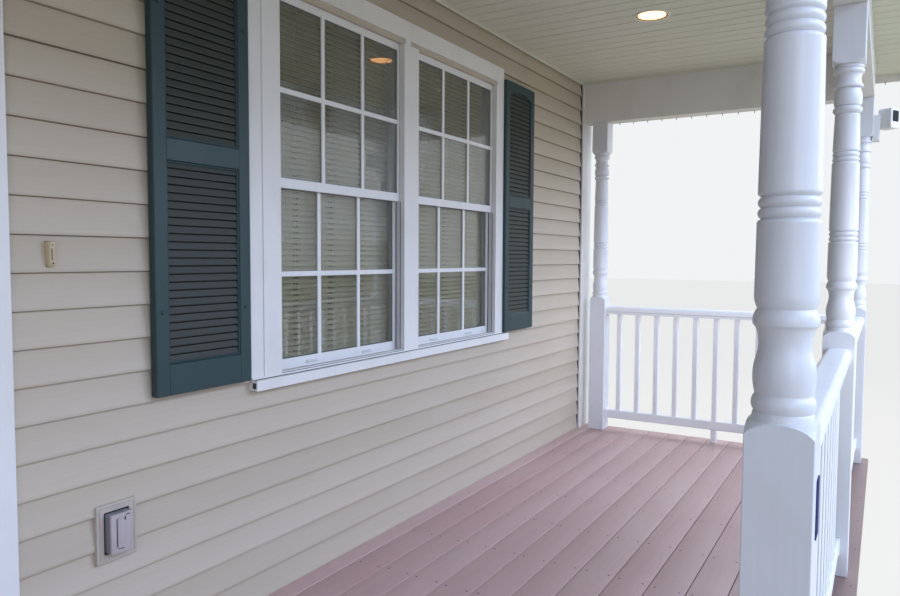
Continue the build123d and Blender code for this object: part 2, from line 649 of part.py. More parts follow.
with BuildPart() as corner_boards:
    for side in (-1, 1):
        with BuildSketch(Plane.XY.offset(DECK_TOP)):
            with BuildLine():
                Polyline(
                    (side * (WALL_HALF - CORNER_W), CORE_Y),
                    (side * (WALL_HALF - CORNER_W), WALL_Y - CORNER_T),
                    (side * WALL_HALF, WALL_Y - CORNER_T),
                    (side * WALL_HALF, BACK_Y),
                    (side * CORE_HALF, BACK_Y),
                    (side * CORE_HALF, CORE_Y),
                    close=True,
                )
            make_face()
        extrude(amount=WALL_TOP - DECK_TOP)
save(corner_boards.part, "corner_boards")

# Twin window: frames, casing, sill, sashes with their bars, glass and blinds
with BuildPart() as window_frames:
    for ux in UNIT_X:
        slab(ux - UNIT_W / 2, ux + UNIT_W / 2, CORE_Y, CORE_Y + FRAME_D, CLEAR_Z - FRAME_T, SASH_TO + FRAME_T)
        slab(ux - SASH_W / 2, ux + SASH_W / 2, CORE_Y, CORE_Y + FRAME_D, CLEAR_Z, SASH_TO, mode=Mode.SUBTRACT)
save(window_frames.part, "window_frames")
with BuildPart() as window_casing:
    slab(CASING_X0, CASING_X1, WALL_Y - CASING_T, CORE_Y, CLEAR_Z, HEADER_TOP)
    slab(TRIM_X0, CASING_X0, WALL_Y - SIDE_TRIM_T, CORE_Y, CLEAR_Z, HEADER_TOP)
    for ux in UNIT_X:
        slab(ux - CLEAR_W / 2, ux + CLEAR_W / 2, WALL_Y - CASING_T, CORE_Y, CLEAR_Z, CLEAR_TOP,
             mode=Mode.SUBTRACT)
    for x0, x1 in strip_spans:
        slab(x0, x1, WALL_Y - CASING_T, CORE_Y, CLEAR_TOP, STRIP_TOP, mode=Mode.SUBTRACT)
save(window_casing.part, "window_casing")
with BuildPart() as window_sill:
    slab(*SILL_X, WALL_Y - SILL_OUT, CORE_Y, SILL_Z, LIP_Z)
    slab(TRIM_X0, CASING_X1, WALL_Y - SILL_LIP_OUT, CORE_Y, LIP_Z, CLEAR_Z)
save(window_sill.part, "window_sill")
MEETING_Z = CLEAR_Z + MEETING_UP
sash_rows = (
    ("upper", UPPER_SASH_IN, MEETING_Z, SASH_TO, UPPER_LOW_RAIL, UPPER_TOP_RAIL),
    ("lower", UPPER_SASH_IN + SASH_T, CLEAR_Z, MEETING_Z + UPPER_LOW_RAIL, LOWER_LOW_RAIL, LOWER_TOP_RAIL),
)
panes = []
for row, inset, z0, z1, low, high in sash_rows:
    y0 = WALL_Y + inset
    bar_y = y0 + MUNTIN_IN
    with BuildPart() as sashes:
        for ux in UNIT_X:
            gx0, gx1 = ux - SASH_W / 2 + STILE, ux + SASH_W / 2 - STILE
            gz0, gz1 = z0 + low, z1 - high
            panes.append((gx0, gx1, bar_y + MUNTIN_T, gz0, gz1))
            slab(ux - SASH_W / 2, ux + SASH_W / 2, y0, y0 + SASH_T, z0, z1)
            slab(gx0, gx1, y0, y0 + SASH_T, gz0, gz1, mode=Mode.SUBTRACT)
            for n in (1, 2):
                mx = gx0 + n * (gx1 - gx0) / 3
                slab(mx - MUNTIN / 2, mx + MUNTIN / 2, bar_y, bar_y + MUNTIN_T, gz0, gz1)
            mz = (gz0 + gz1) / 2
            slab(gx0, gx1, bar_y, bar_y + MUNTIN_T, mz - MUNTIN / 2, mz + MUNTIN / 2)
    save(sashes.part, f"sashes_{row}")
with BuildPart() as window_glass:
    for gx0, gx1, gy, gz0, gz1 in panes:
        slab(gx0, gx1, gy, gy + GLASS_T, gz0, gz1)
save(window_glass.part, "window_glass")
with BuildPart() as window_blinds:
    for ux in UNIT_X:
        slab(ux - SASH_W / 2 + BLIND_GAP, ux + SASH_W / 2 - BLIND_GAP,
             WALL_Y + BLIND_IN, WALL_Y + BLIND_IN + BLIND_T, CLEAR_Z, SASH_TO)
save(window_blinds.part, "window_blinds")

# Louvred shutters beside the twin window, the upper field with an arched head
SHUTTER_Z = DECK_TOP + SHUTTER_BOTTOM
SHUTTER_TOP = SHUTTER_Z + SHUTTER_H
FIELD_HALF = SHUTTER_W / 2 - SHUTTER_STILE
MID_Z = SHUTTER_Z + SHUTTER_MID_UP
ARCH_Z = SHUTTER_TOP - SHUTTER_TOP_RAIL
louvre_fields = (
    (SHUTTER_Z + SHUTTER_LOW_RAIL, MID_Z, 0.0),
    (MID_Z + SHUTTER_MID_RAIL, ARCH_Z, ARCH_RISE),
)
with BuildPart() as shutters:
    for cx in (TRIM_X0 - SHUTTER_GAP - SHUTTER_W / 2, CASING_X1 + SHUTTER_W / 2):
        slab(cx - SHUTTER_W / 2, cx + SHUTTER_W / 2, WALL_Y - SHUTTER_T, WALL_Y, SHUTTER_Z, SHUTTER_TOP)
        for z0, z1, rise in louvre_fields:
            slab(cx - FIELD_HALF, cx + FIELD_HALF, WALL_Y - SHUTTER_T, WALL_Y - SHUTTER_BACK, z0, z1,
                 mode=Mode.SUBTRACT)
            if rise:
                with BuildSketch(Plane.XZ.offset(SHUTTER_BACK - WALL_Y)):
                    with BuildLine():
                        ThreePointArc((cx - FIELD_HALF, z1), (cx, z1 + rise), (cx + FIELD_HALF, z1))
                        Line((cx + FIELD_HALF, z1), (cx - FIELD_HALF, z1))
                    make_face()
                extrude(amount=SHUTTER_T - SHUTTER_BACK, mode=Mode.SUBTRACT)
            count = ceil((z1 + rise - z0) / LOUVRE)
            step = (z1 + rise - z0) / count
            with BuildSketch(Plane.YZ.offset(cx - FIELD_HALF)):
                with BuildLine():
                    points = [(WALL_Y - SHUTTER_BACK, z0)]
                    for k in range(count):
                        points.append((WALL_Y - LOUVRE_BUTT, z0 + step * k))
                        points.append((WALL_Y - LOUVRE_HEAD, z0 + step * (k + 1)))
                    points.append((WALL_Y - SHUTTER_BACK, z1 + rise))
                    Polyline(*points, close=True)
                make_face()
            extrude(amount=2 * FIELD_HALF)
save(shutters.part, "shutters")

# Front door: frame with a stop and threshold, casing, leaf with six raised panels, lever
STOP_Y = WALL_Y + DOOR_IN + DOOR_T
LEAF_Z = DECK_TOP + THRESHOLD
with BuildPart() as door_frame:
    slab(DOOR_X - DOOR_OUT_W / 2, DOOR_X + DOOR_OUT_W / 2, CORE_Y, BACK_Y, DECK_TOP, DOOR_OUT_Z)
    slab(DOOR_X - DOOR_W / 2 - DOOR_CLEAR, DOOR_X + DOOR_W / 2 + DOOR_CLEAR, CORE_Y, STOP_Y,
         LEAF_Z, DOOR_OUT_Z - DOOR_FRAME_T, mode=Mode.SUBTRACT)
    slab(DOOR_X - DOOR_W / 2 + DOOR_STOP, DOOR_X + DOOR_W / 2 - DOOR_STOP, STOP_Y, BACK_Y,
         LEAF_Z, DOOR_OUT_Z - DOOR_FRAME_T - DOOR_STOP, mode=Mode.SUBTRACT)
save(door_frame.part, "door_frame")
with BuildPart() as door_casing:
    slab(DOOR_X - DOOR_CASING_HALF, DOOR_X + DOOR_CASING_HALF, WALL_Y - CASING_T, CORE_Y,
         DECK_TOP, DOOR_CASING_Z)
    slab(DOOR_X - DOOR_IN_HALF, DOOR_X + DOOR_IN_HALF, WALL_Y - CASING_T, CORE_Y,
         DECK_TOP, DOOR_CASING_Z - CASING_W, mode=Mode.SUBTRACT)
save(door_casing.part, "door_casing")
LEAF_Y = WALL_Y + DOOR_IN
PANEL_Y = LEAF_Y + PANEL_CUT
with BuildPart() as door_leaf:
    slab(DOOR_X - DOOR_W / 2, DOOR_X + DOOR_W / 2, LEAF_Y, STOP_Y, LEAF_Z, LEAF_Z + DOOR_H)
    for z0, z1 in PANEL_ROWS:
        for side in (-1, 1):
            x0, x1 = sorted((DOOR_X + side * DOOR_MUNTIN / 2, DOOR_X + side * (DOOR_W / 2 - DOOR_STILE)))
            slab(x0, x1, LEAF_Y, PANEL_Y, LEAF_Z + z0, LEAF_Z + z1, mode=Mode.SUBTRACT)
            slab(x0 + PANEL_BAND, x1 - PANEL_BAND, PANEL_Y - PANEL_RAISE, PANEL_Y,
                 LEAF_Z + z0 + PANEL_BAND, LEAF_Z + z1 - PANEL_BAND)
save(door_leaf.part, "door_leaf")
HANDLE_X = DOOR_X + DOOR_W / 2 - HANDLE_IN
HANDLE_Z = LEAF_Z + HANDLE_UP
with BuildPart() as door_handle:
    slab(HANDLE_X - HANDLE_PLATE / 2, HANDLE_X + HANDLE_PLATE / 2, LEAF_Y - HANDLE_PLATE_T, LEAF_Y,
         HANDLE_Z - HANDLE_PLATE / 2, HANDLE_Z + HANDLE_PLATE / 2)
    slab(HANDLE_X - HANDLE_BAR / 2, HANDLE_X + HANDLE_BAR / 2, LEAF_Y - HANDLE_OUT, LEAF_Y - HANDLE_PLATE_T,
         HANDLE_Z - HANDLE_BAR / 2, HANDLE_Z + HANDLE_BAR / 2)
    slab(HANDLE_X + HANDLE_BAR / 2 - HANDLE_LEN, HANDLE_X + HANDLE_BAR / 2, LEAF_Y - HANDLE_OUT,
         LEAF_Y - HANDLE_OUT + HANDLE_BAR, HANDLE_Z - HANDLE_BAR / 2, HANDLE_Z + HANDLE_BAR / 2)
save(door_handle.part, "door_handle")

# Doorbell button and the covered outlet on its block, let into the siding
with BuildPart() as doorbell:
    slab(BELL_X - BELL_W / 2, BELL_X + BELL_W / 2, WALL_Y - BELL_OUT, CORE_Y,
         BELL_Z - BELL_H / 2, BELL_Z + BELL_H / 2)
save(doorbell.part, "doorbell")
POCKET_W = COVER_W + 2 * POCKET_GAP
POCKET_H = COVER_H + 2 * POCKET_GAP
POCKET_Y = WALL_Y - BLOCK_OUT + POCKET_DEPTH  # pocket floor
with BuildPart() as outlet_block:
    slab(OUTLET_X - BLOCK_W / 2, OUTLET_X + BLOCK_W / 2, WALL_Y - BLOCK_OUT, CORE_Y,
         OUTLET_Z - BLOCK_H / 2, OUTLET_Z + BLOCK_H / 2)
    slab(OUTLET_X - POCKET_W / 2, OUTLET_X + POCKET_W / 2, WALL_Y - BLOCK_OUT, POCKET_Y,
         OUTLET_Z - POCKET_H / 2, OUTLET_Z + POCKET_H / 2, mode=Mode.SUBTRACT)
save(outlet_block.part, "outlet_block")
with BuildPart() as outlet_cover:
    slab(OUTLET_X - COVER_W / 2, OUTLET_X + COVER_W / 2, WALL_Y - COVER_OUT, POCKET_Y,
         OUTLET_Z - COVER_H / 2, OUTLET_Z + COVER_H / 2)
    fillet(outlet_cover.faces().sort_by(Axis.Y)[0].edges(), COVER_ROUND)
save(outlet_cover.part, "outlet_cover")

# Small camera on the street face of the corner post: its base and the head on it
HEAD_Y = BEAM_FACE_Y - CAMERA_BASE_OUT + CAMERA_LAP
with BuildPart() as post_camera:
    slab(END_X - CAMERA_BASE_W / 2, END_X + CAMERA_BASE_W / 2, BEAM_FACE_Y - CAMERA_BASE_OUT, BEAM_FACE_Y,
         POST_TOP - CAMERA_BASE_TOP - CAMERA_BASE_H, POST_TOP - CAMERA_BASE_TOP)
    slab(END_X - CAMERA_W / 2, END_X + CAMERA_W / 2, HEAD_Y - CAMERA_D, HEAD_Y,
         POST_TOP - CAMERA_TOP - CAMERA_H, POST_TOP - CAMERA_TOP)
save(post_camera.part, "post_camera")
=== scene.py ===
"""Looks of a covered front porch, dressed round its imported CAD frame.

Sizes are in millimetres in the frame of the CAD model and are turned to metres once,
where a mesh is made. Only the studio round it is given in metres. +X runs along the
house wall, the street is at -Y, and +Z is up.
"""

from __future__ import annotations

import logging
import math
from dataclasses import dataclass
from enum import Enum
from typing import Any, Callable, Iterable, Sequence

import bmesh
import bpy
from mathutils import Matrix, Vector


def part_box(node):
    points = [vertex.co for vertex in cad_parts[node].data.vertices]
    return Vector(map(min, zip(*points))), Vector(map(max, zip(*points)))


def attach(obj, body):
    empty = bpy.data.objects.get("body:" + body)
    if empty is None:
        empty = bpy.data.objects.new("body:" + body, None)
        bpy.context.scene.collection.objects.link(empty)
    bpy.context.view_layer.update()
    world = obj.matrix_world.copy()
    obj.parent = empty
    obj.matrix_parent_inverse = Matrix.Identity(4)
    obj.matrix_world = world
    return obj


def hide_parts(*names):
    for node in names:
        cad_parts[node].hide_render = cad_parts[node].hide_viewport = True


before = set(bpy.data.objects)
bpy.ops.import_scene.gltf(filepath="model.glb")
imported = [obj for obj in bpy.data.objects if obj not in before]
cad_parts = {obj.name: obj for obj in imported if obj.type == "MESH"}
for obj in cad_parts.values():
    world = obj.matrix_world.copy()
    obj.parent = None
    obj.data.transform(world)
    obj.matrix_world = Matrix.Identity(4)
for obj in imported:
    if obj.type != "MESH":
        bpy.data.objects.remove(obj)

LOG = logging.getLogger("porch")
MM = 0.001
Point2 = tuple[float, float]
Point3 = tuple[float, float, float]


class Axis(Enum):
    """The axis that a section is drawn out along."""

    X = 0
    Y = 1
    Z = 2


@dataclass(frozen=True)
class Layout:
    """Places shared by the sub-assemblies, in millimetres."""

    wall_y: float = 1149.5
    core_y: float = 1164.5
    deck: float = 534.0
    deck_front_y: float = -735.5
    deck_half: float = 2923.4
    bay: float = 1885.5
    end_x: float = 2828.25
    post: float = 114.3
    post_y: float = -640.35
    wall_post_y: float = 1017.35
    beam_foot: float = 2781.0
    beam_face_y: float = -697.5
    ceiling: float = 3067.0
    soffit: float = 2986.0
    fascia_foot: float = 2940.0
    eave_y: float = -1000.35
    drip_y: float = -1025.35
    roof_half: float = 3213.25
    roof_top_eave: float = 3137.72
    roof_pitch: float = 1.0 / 3.0
    corner_inner: float = 2753.4
    window_x: float = 511.0
    door_x: float = -1885.5


AT = Layout()


def linear(code: str) -> tuple[float, float, float, float]:
    """Turn an sRGB hex colour to linear light.

    Args:
        code: Colour as "#RRGGBB".

    Returns:
        Linear red, green and blue, and an alpha of 1.
    """
    parts = [int(code[i : i + 2], 16) / 255.0 for i in (1, 3, 5)]
    lin = [c / 12.92 if c <= 0.04045 else ((c + 0.055) / 1.055) ** 2.4 for c in parts]
    return (lin[0], lin[1], lin[2], 1.0)


def hang(name: str, data: bpy.types.ID) -> bpy.types.Object:
    """Put data into the scene.

    Args:
        name: Name of the object.
        data: Its mesh, lamp or camera.

    Returns:
        The new object.
    """
    obj = bpy.data.objects.new(name, data)
    bpy.context.scene.collection.objects.link(obj)
    return obj


class NodeBoard:
    """Node tree that is cleared and laid out anew."""

    def __init__(self, tree: bpy.types.NodeTree) -> None:
        """Take over a node tree."""
        self.tree = tree
        tree.nodes.clear()

    def feed(self, socket: bpy.types.NodeSocket, value: Any) -> None:
        """Link or set an input.

        Args:
            socket: The input.
            value: A socket to link, a hex colour or a plain value.
        """
        if isinstance(value, bpy.types.NodeSocket):
            self.tree.links.new(value, socket)
        else:
            socket.default_value = linear(value) if isinstance(value, str) else value

    def add(
        self,
        kind: str,
        inputs: dict[Any, Any] | None = None,
        stops: Sequence[tuple[float, str]] = (),
        **settings: Any,
    ) -> bpy.types.Node:
        """Add one node with its settings, values and links.

        Args:
            kind: Node type.
            inputs: Socket name or number to a value, a hex colour or a socket to link.
            stops: Places and hex colours of a colour ramp.
            **settings: Attributes of the node.

        Returns:
            The new node.
        """
        node = self.tree.nodes.new(kind)
        for key, value in settings.items():
            setattr(node, key, value)
        for key, value in (inputs or {}).items():
            self.feed(node.inputs[key], value)
        if stops:
            band = node.color_ramp.elements
            while len(band) < len(stops):
                band.new(0.5)
            for element, (place, code) in zip(band, stops):
                element.position = place
                element.color = linear(code)
        return node


@dataclass(frozen=True)
class Coat:
    """Tint over the colour below it, as strong as a pattern is bright.

    With span, the pattern is first made a mask that starts at the low value and is full at the high one.
    """

    pattern: bpy.types.NodeSocket
    colour: str
    weight: float = 1.0
    span: tuple[float, ...] = ()


class Painter(NodeBoard):
    """Node tree of one material, with its shader and the patterns that finishes share."""

    def __init__(self, name: str) -> None:
        """Start an empty material with a Principled shader.

        Args:
            name: Name of the material.
        """
        material = bpy.data.materials.new(name)
        material.use_nodes = True
        super().__init__(material.node_tree)
        self.shader = self.add("ShaderNodeBsdfPrincipled")
        self.out = self.add("ShaderNodeOutputMaterial", {0: self.shader.outputs[0]})
        self.where = self.add("ShaderNodeTexCoord").outputs["Object"]

    def speckle(self, size: Point3, detail: float = 3.0, shift: float = 0.0) -> bpy.types.NodeSocket:
        """Noise whose grains measure size along the three axes.

        Args:
            size: Grain size in millimetres.
            detail: Octaves of finer noise.
            shift: Moves the pattern, so that two of them differ.

        Returns:
            A factor from 0 to 1.
        """
        scale = tuple(1.0 / (s * MM) for s in size)
        spot = {"Vector": self.where, "Scale": scale, "Location": (shift,) * 3}
        place = self.add("ShaderNodeMapping", spot).outputs[0]
        return self.add("ShaderNodeTexNoise", {"Vector": place, "Scale": 1.0, "Detail": detail}).outputs[0]

    def weigh(self, *terms: tuple[bpy.types.NodeSocket, float], base: float = 0.0) -> bpy.types.NodeSocket:
        """Add weighted patterns to a base value.

        Args:
            *terms: Pairs of pattern and weight.
            base: Value where every pattern is 0.

        Returns:
            The sum.
        """
        total: Any = base
        for pattern, weight in terms:
            values = {0: pattern, 1: weight, 2: total}
            total = self.add("ShaderNodeMath", values, operation="MULTIPLY_ADD").outputs[0]
        return total

    def coats(self, base: Any, *coats: Coat) -> bpy.types.NodeSocket:
        """Lay tinted coats over a bare colour.

        Args:
            base: Bare colour, as a socket or a hex colour.
            *coats: Coats, the lowest first.

        Returns:
            The colour on top.
        """
        for coat in coats:
            factor = coat.pattern
            if coat.span:
                stops = tuple(zip(coat.span, ("#000000", "#FFFFFF")))
                factor = self.add("ShaderNodeValToRGB", {0: factor}, stops).outputs[0]
            if coat.weight != 1.0:
                factor = self.weigh((factor, coat.weight))
            values = {0: factor, 6: base, 7: coat.colour}
            base = self.add("ShaderNodeMix", values, data_type="RGBA").outputs[2]
        return base

    def steps(
        self, axis: str, start: float, pitch: float
    ) -> tuple[bpy.types.NodeSocket, bpy.types.NodeSocket]:
        """Number the boards or courses laid along an axis.

        Args:
            axis: "X", "Y" or "Z".
            start: Where the first one begins, in millimetres.
            pitch: Distance from one to the next, in millimetres.

        Returns:
            A random value for each board and the place across it from 0 to 1.
        """
        place = self.add("ShaderNodeSeparateXYZ", {0: self.where}).outputs[axis]
        count = self.weigh((place, 1.0 / (pitch * MM)), base=-start / pitch)
        index = self.add("ShaderNodeMath", {0: count}, operation="FLOOR").outputs[0]
        across = self.add("ShaderNodeMath", {0: count}, operation="FRACT").outputs[0]
        lot = self.add("ShaderNodeTexWhiteNoise", {"W": index}, noise_dimensions="1D").outputs[0]
        return lot, across

    def upright(self) -> bpy.types.NodeSocket:
        """Mask of upright faces.

        Returns:
            A factor of 1 on faces that stand upright and 0 on slopes and flats.
        """
        normal = self.add("ShaderNodeNewGeometry").outputs["True Normal"]
        up = self.add("ShaderNodeSeparateXYZ", {0: normal}).outputs["Z"]
        flat = self.add("ShaderNodeMath", {0: up}, operation="ABSOLUTE").outputs[0]
        return self.add("ShaderNodeMath", {0: flat, 1: 0.3}, operation="LESS_THAN").outputs[0]

    def surface(self, **values: Any) -> None:
        """Set or link sockets of the shader, with underscores for the spaces in their names."""
        for key, value in values.items():
            self.feed(self.shader.inputs[key.replace("_", " ")], value)

    def emboss(self, depth: float, strength: float, *terms: tuple[bpy.types.NodeSocket, float]) -> None:
        """Raise the surface by weighted patterns.

        Args:
            depth: Height of a full pattern in millimetres.
            strength: How much of it shows.
            *terms: Pairs of pattern and weight.
        """
        bump = {"Height": self.weigh(*terms), "Distance": depth * MM, "Strength": strength}
        self.surface(Normal=self.add("ShaderNodeBump", bump).outputs[0])


@dataclass(frozen=True)
class Finish:
    """One real material and how its surface was made."""

    slot: str = "white_trim"

    def dress(self, p: Painter) -> None:
        """Lay the material's patterns.

        Args:
            p: Painter of the new material.
        """
        raise NotImplementedError

    def material(self) -> bpy.types.Material:
        """Find or make this finish's material.

        Returns:
            The material, which all pieces of the finish share.
        """
        name = type(self).__name__
        if name not in bpy.data.materials:
            self.dress(Painter(name))
        return bpy.data.materials[name]


@dataclass(frozen=True)
class CompositeDecking(Finish):
    """Wood and polyethylene boards, extruded and brush-embossed: dusty pink brown, dry, fine streaks."""

    slot: str = "composite_decking"
    pitch: float = 138.8

    def dress(self, p: Painter) -> None:
        """Tone for each board, streaks along it, foot wear, a first board darkened as painted shade and a
        fine emboss.

        Args:
            p: Painter of the new material.
        """
        lot, _ = p.steps("Y", AT.deck_front_y - 1.4, self.pitch)
        streak = p.speckle((420, 3.2, 3.2), 5)
        fine = p.speckle((60, 1.1, 1.1), 2, 3)
        wear = p.speckle((900, 260, 260), 4, 7)
        # The first board at the front is painted darker: painted shade.
        out = p.add("ShaderNodeSeparateXYZ", {0: p.where}).outputs["Y"]
        first = (AT.deck_front_y + self.pitch) * MM
        shaded_first_board = p.add("ShaderNodeMath", {0: out, 1: first}, operation="LESS_THAN").outputs[0]
        board = p.add("ShaderNodeValToRGB", {0: lot}, ((0.0, "#BE9C96"), (0.5, "#C6A59F"), (1.0, "#CEB0A9")))
        tone = p.coats(
            board.outputs[0],
            Coat(streak, "#9C7D7C", 0.50),
            Coat(wear, "#C2B0AB", 0.40, (0.46, 0.78)),
            Coat(shaded_first_board, "#755F58", 0.85),
        )
        rough = p.weigh((wear, -0.25), (streak, 0.2), base=0.50)
        p.surface(Base_Color=tone, Specular_IOR_Level=0.42, Roughness=rough)
        p.emboss(0.9, 0.6, (streak, 0.6), (fine, 0.4))


@dataclass(frozen=True)
class LappedVinylSiding(Finish):
    """Extruded PVC siding with a pressed cedar grain: warm beige, satin, a little dust on each course."""

    slot: str = "vinyl_siding"
    course: float = 101.6

    def dress(self, p: Painter) -> None:
        """Tone for each course, long shallow grain, dust, a painted shadow line under each lap and a
        slightly darker foot on each course.

        Args:
            p: Painter of the new material.
        """
        lot, up = p.steps("Z", AT.deck, self.course)
        grain = p.speckle((210, 60, 5.5), 4)
        fine = p.speckle((46, 20, 1.8), 2, 5)
        dust = p.speckle((620, 400, 90), 4, 2)
        tone = p.add("ShaderNodeValToRGB", {0: lot}, ((0.0, "#BDB19D"), (1.0, "#C5B9A6"))).outputs[0]
        # Painted shadow: a dark band at the top of each course, under the butt of the course above, and
        # slight darkening at the foot of each course.
        lap_shadow = p.add(
            "ShaderNodeValToRGB",
            {0: up},
            ((0.0, "#D8D0C4"), (0.03, "#F0ECE6"), (0.10, "#FFFFFF"), (0.972, "#F4F1EC"), (0.984, "#54483B")),
        ).outputs[0]
        shaded = p.add("ShaderNodeMix", {0: 0.75, 6: tone, 7: lap_shadow}, data_type="RGBA", blend_type="MULTIPLY")
        top = p.coats(
            shaded.outputs[2], Coat(grain, "#988C7F", 0.22), Coat(dust, "#CBC2B4", 0.22, (0.45, 0.80))
        )
        rough = p.weigh((grain, 0.2), (dust, 0.1), base=0.42)
        p.surface(Base_Color=top, Specular_IOR_Level=0.4, Roughness=rough)
        p.emboss(0.9, 0.5, (grain, 0.7), (fine, 0.3))


@dataclass(frozen=True)
class WrappedTrim(Finish):
    """Pine boards wrapped in PVC-coated aluminium: cool white with a faint pebble and hand dirt."""

    def dress(self, p: Painter) -> None:
        """Pebble emboss, slow waviness of the bent sheet and soft dirt.

        Args:
            p: Painter of the new material.
        """
        pebble = p.speckle((1.6, 1.6, 1.6), 2)
        wave = p.speckle((420, 420, 420), 2, 4)
        dirt = p.speckle((160, 160, 260), 5, 9)
        tone = p.coats("#DBD9D5", Coat(wave, "#E6E5E2"), Coat(dirt, "#B7B0A6", 0.30, (0.5, 0.85)))
        p.surface(Base_Color=tone, Specular_IOR_Level=0.45, Roughness=p.weigh((dirt, 0.3), base=0.26))
        p.emboss(1.6, 0.35, (wave, 1.0), (pebble, 0.05))


@dataclass(frozen=True)
class TurnedPinePaint(Finish):
    """Turned pine under brushed gloss enamel: bright cool white, faint brush lines round the turning."""

    slot: str = "post_paint"

    def dress(self, p: Painter) -> None:
        """Brush lines, thin spots and a slow ripple of the grain below.

        Args:
            p: Painter of the new material.
        """
        brush = p.speckle((30, 30, 1.3), 2)
        ripple = p.speckle((9, 9, 240), 3, 3)
        dirt = p.speckle((90, 90, 180), 5, 6)
        tone = p.coats("#D5D7DC", Coat(ripple, "#DEE0E5"), Coat(dirt, "#B9B7B4", 0.22, (0.52, 0.9)))
        p.surface(Base_Color=tone, Specular_IOR_Level=0.5, Roughness=p.weigh((dirt, 0.18), base=0.24))
        p.emboss(0.5, 0.35, (brush, 0.25), (ripple, 0.75))


@dataclass(frozen=True)
class RailingVinyl(Finish):
    """Extruded white PVC rail and pickets: smooth, satin, clean white."""

    slot: str = "rail_vinyl"

    def dress(self, p: Painter) -> None:
        """Faint die lines and rain dirt.

        Args:
            p: Painter of the new material.
        """
        die = p.speckle((260, 2.2, 2.2), 2)
        dirt = p.speckle((120, 90, 140), 5, 2)
        tone = p.coats("#EBEDF0", Coat(dirt, "#C9C7C1", 0.25, (0.5, 0.9)))
        p.surface(Base_Color=tone, Specular_IOR_Level=0.45, Roughness=p.weigh((dirt, 0.2), base=0.28))
        p.emboss(0.25, 0.3, (die, 1.0))


@dataclass(frozen=True)
class SoffitBoards(Finish):
    """Ribbed PVC ceiling boards, extruded: cream white, low sheen, a little smoke in the grooves."""

    slot: str = "soffit_vinyl"

    def dress(self, p: Painter) -> None:
        """Light emboss along the boards and soft ageing.

        Args:
            p: Painter of the new material.
        """
        ribs = p.speckle((2.2, 90, 2.2), 2)
        age = p.speckle((420, 700, 400), 4, 5)
        tone = p.coats("#D8D8CA", Coat(age, "#CDCCBC"))
        p.surface(Base_Color=tone, Specular_IOR_Level=0.4, Roughness=p.weigh((age, 0.15), base=0.38))
        p.emboss(0.3, 0.35, (ribs, 1.0))


@dataclass(frozen=True)
class ShutterPolymer(Finish):
    """Moulded polypropylene shutters with a pressed grain: dark blue green, sun-dulled on proud edges."""

    slot: str = "shutter_green"

    def dress(self, p: Painter) -> None:
        """Pressed grain, chalky bloom and lighter worn edges.

        Args:
            p: Painter of the new material.
        """
        grain = p.speckle((3, 3, 70), 4)
        chalk = p.speckle((130, 130, 220), 5, 3)
        edge = p.add("ShaderNodeNewGeometry").outputs["Pointiness"]
        tone = p.coats(
            "#101F20",
            Coat(grain, "#1D3435"),
            Coat(chalk, "#2B4042", 0.35),
            Coat(edge, "#3E5658", 0.4, (0.52, 0.60)),
        )
        p.surface(Base_Color=tone, Specular_IOR_Level=0.32, Roughness=p.weigh((chalk, 0.2), base=0.36))
        p.emboss(0.5, 0.45, (grain, 1.0))


@dataclass(frozen=True)
class WeatheredSheenLouvre(Finish):
    """The same polypropylene on the louvres, which face the weather: greyer, dusty, duller, the greyness
    partly a painted reflection of the sky on their upturned faces.
    """

    slot: str = "shutter_green"

    def dress(self, p: Painter) -> None:
        """Grain along the louvre, grey chalk and dust in patches.

        Args:
            p: Painter of the new material.
        """
        grain = p.speckle((60, 3, 3), 4)
        chalk = p.speckle((160, 160, 300), 5, 8)
        # Greyer and lighter than the frame: partly chalk and dust, partly painted reflection.
        tone = p.coats("#252922", Coat(grain, "#343930"), Coat(chalk, "#444A49", 0.5))
        p.surface(Base_Color=tone, Specular_IOR_Level=0.32, Roughness=p.weigh((chalk, 0.2), base=0.45))
        p.emboss(0.4, 0.4, (grain, 1.0))


@dataclass(frozen=True)
class AsphaltShingle(Finish):
    """Asphalt shingles with ceramic granules: mottled charcoal brown, gritty, no sheen."""

    slot: str = "shingles"

    def dress(self, p: Painter) -> None:
        """Granules of 1.5 mm, drawn at 4 mm so that they show, blends of tabs and weather streaks.

        Args:
            p: Painter of the new material.
        """
        grit = p.add("ShaderNodeTexVoronoi", {"Vector": p.where, "Scale": 1.0 / (4.0 * MM)})
        tabs = p.speckle((150, 150, 150), 2, 4)
        run = p.speckle((120, 900, 300), 4, 8)
        tone = p.coats(
            "#4A4541",
            Coat(grit.outputs["Color"], "#77706A"),
            Coat(tabs, "#2F2C2B", 0.75),
            Coat(run, "#6C675F", 0.25),
        )
        p.surface(Base_Color=tone, Roughness=0.93, Specular_IOR_Level=0.2)
        p.emboss(1.6, 0.8, (grit.outputs["Distance"], 1.0))


@dataclass(frozen=True)
class EdgedShingle(AsphaltShingle):
    """Asphalt shingles, with a painted aluminium drip edge on the upright faces: pale and satin there."""

    def dress(self, p: Painter) -> None:
        """Granules on the slopes and rain-marked paint on the edges.

        Args:
            p: Painter of the new material.
        """
        super().dress(p)
        granules = p.shader.inputs["Base Color"].links[0].from_socket
        edge = p.upright()
        marks = p.speckle((35, 35, 160), 4, 6)
        paint = p.coats("#D2D5DA", Coat(marks, "#AFAFAC", 0.6))
        mixed = p.add("ShaderNodeMix", {0: edge, 6: granules, 7: paint}, data_type="RGBA")
        p.surface(Base_Color=mixed.outputs[2], Roughness=p.weigh((edge, -0.52), base=0.93))


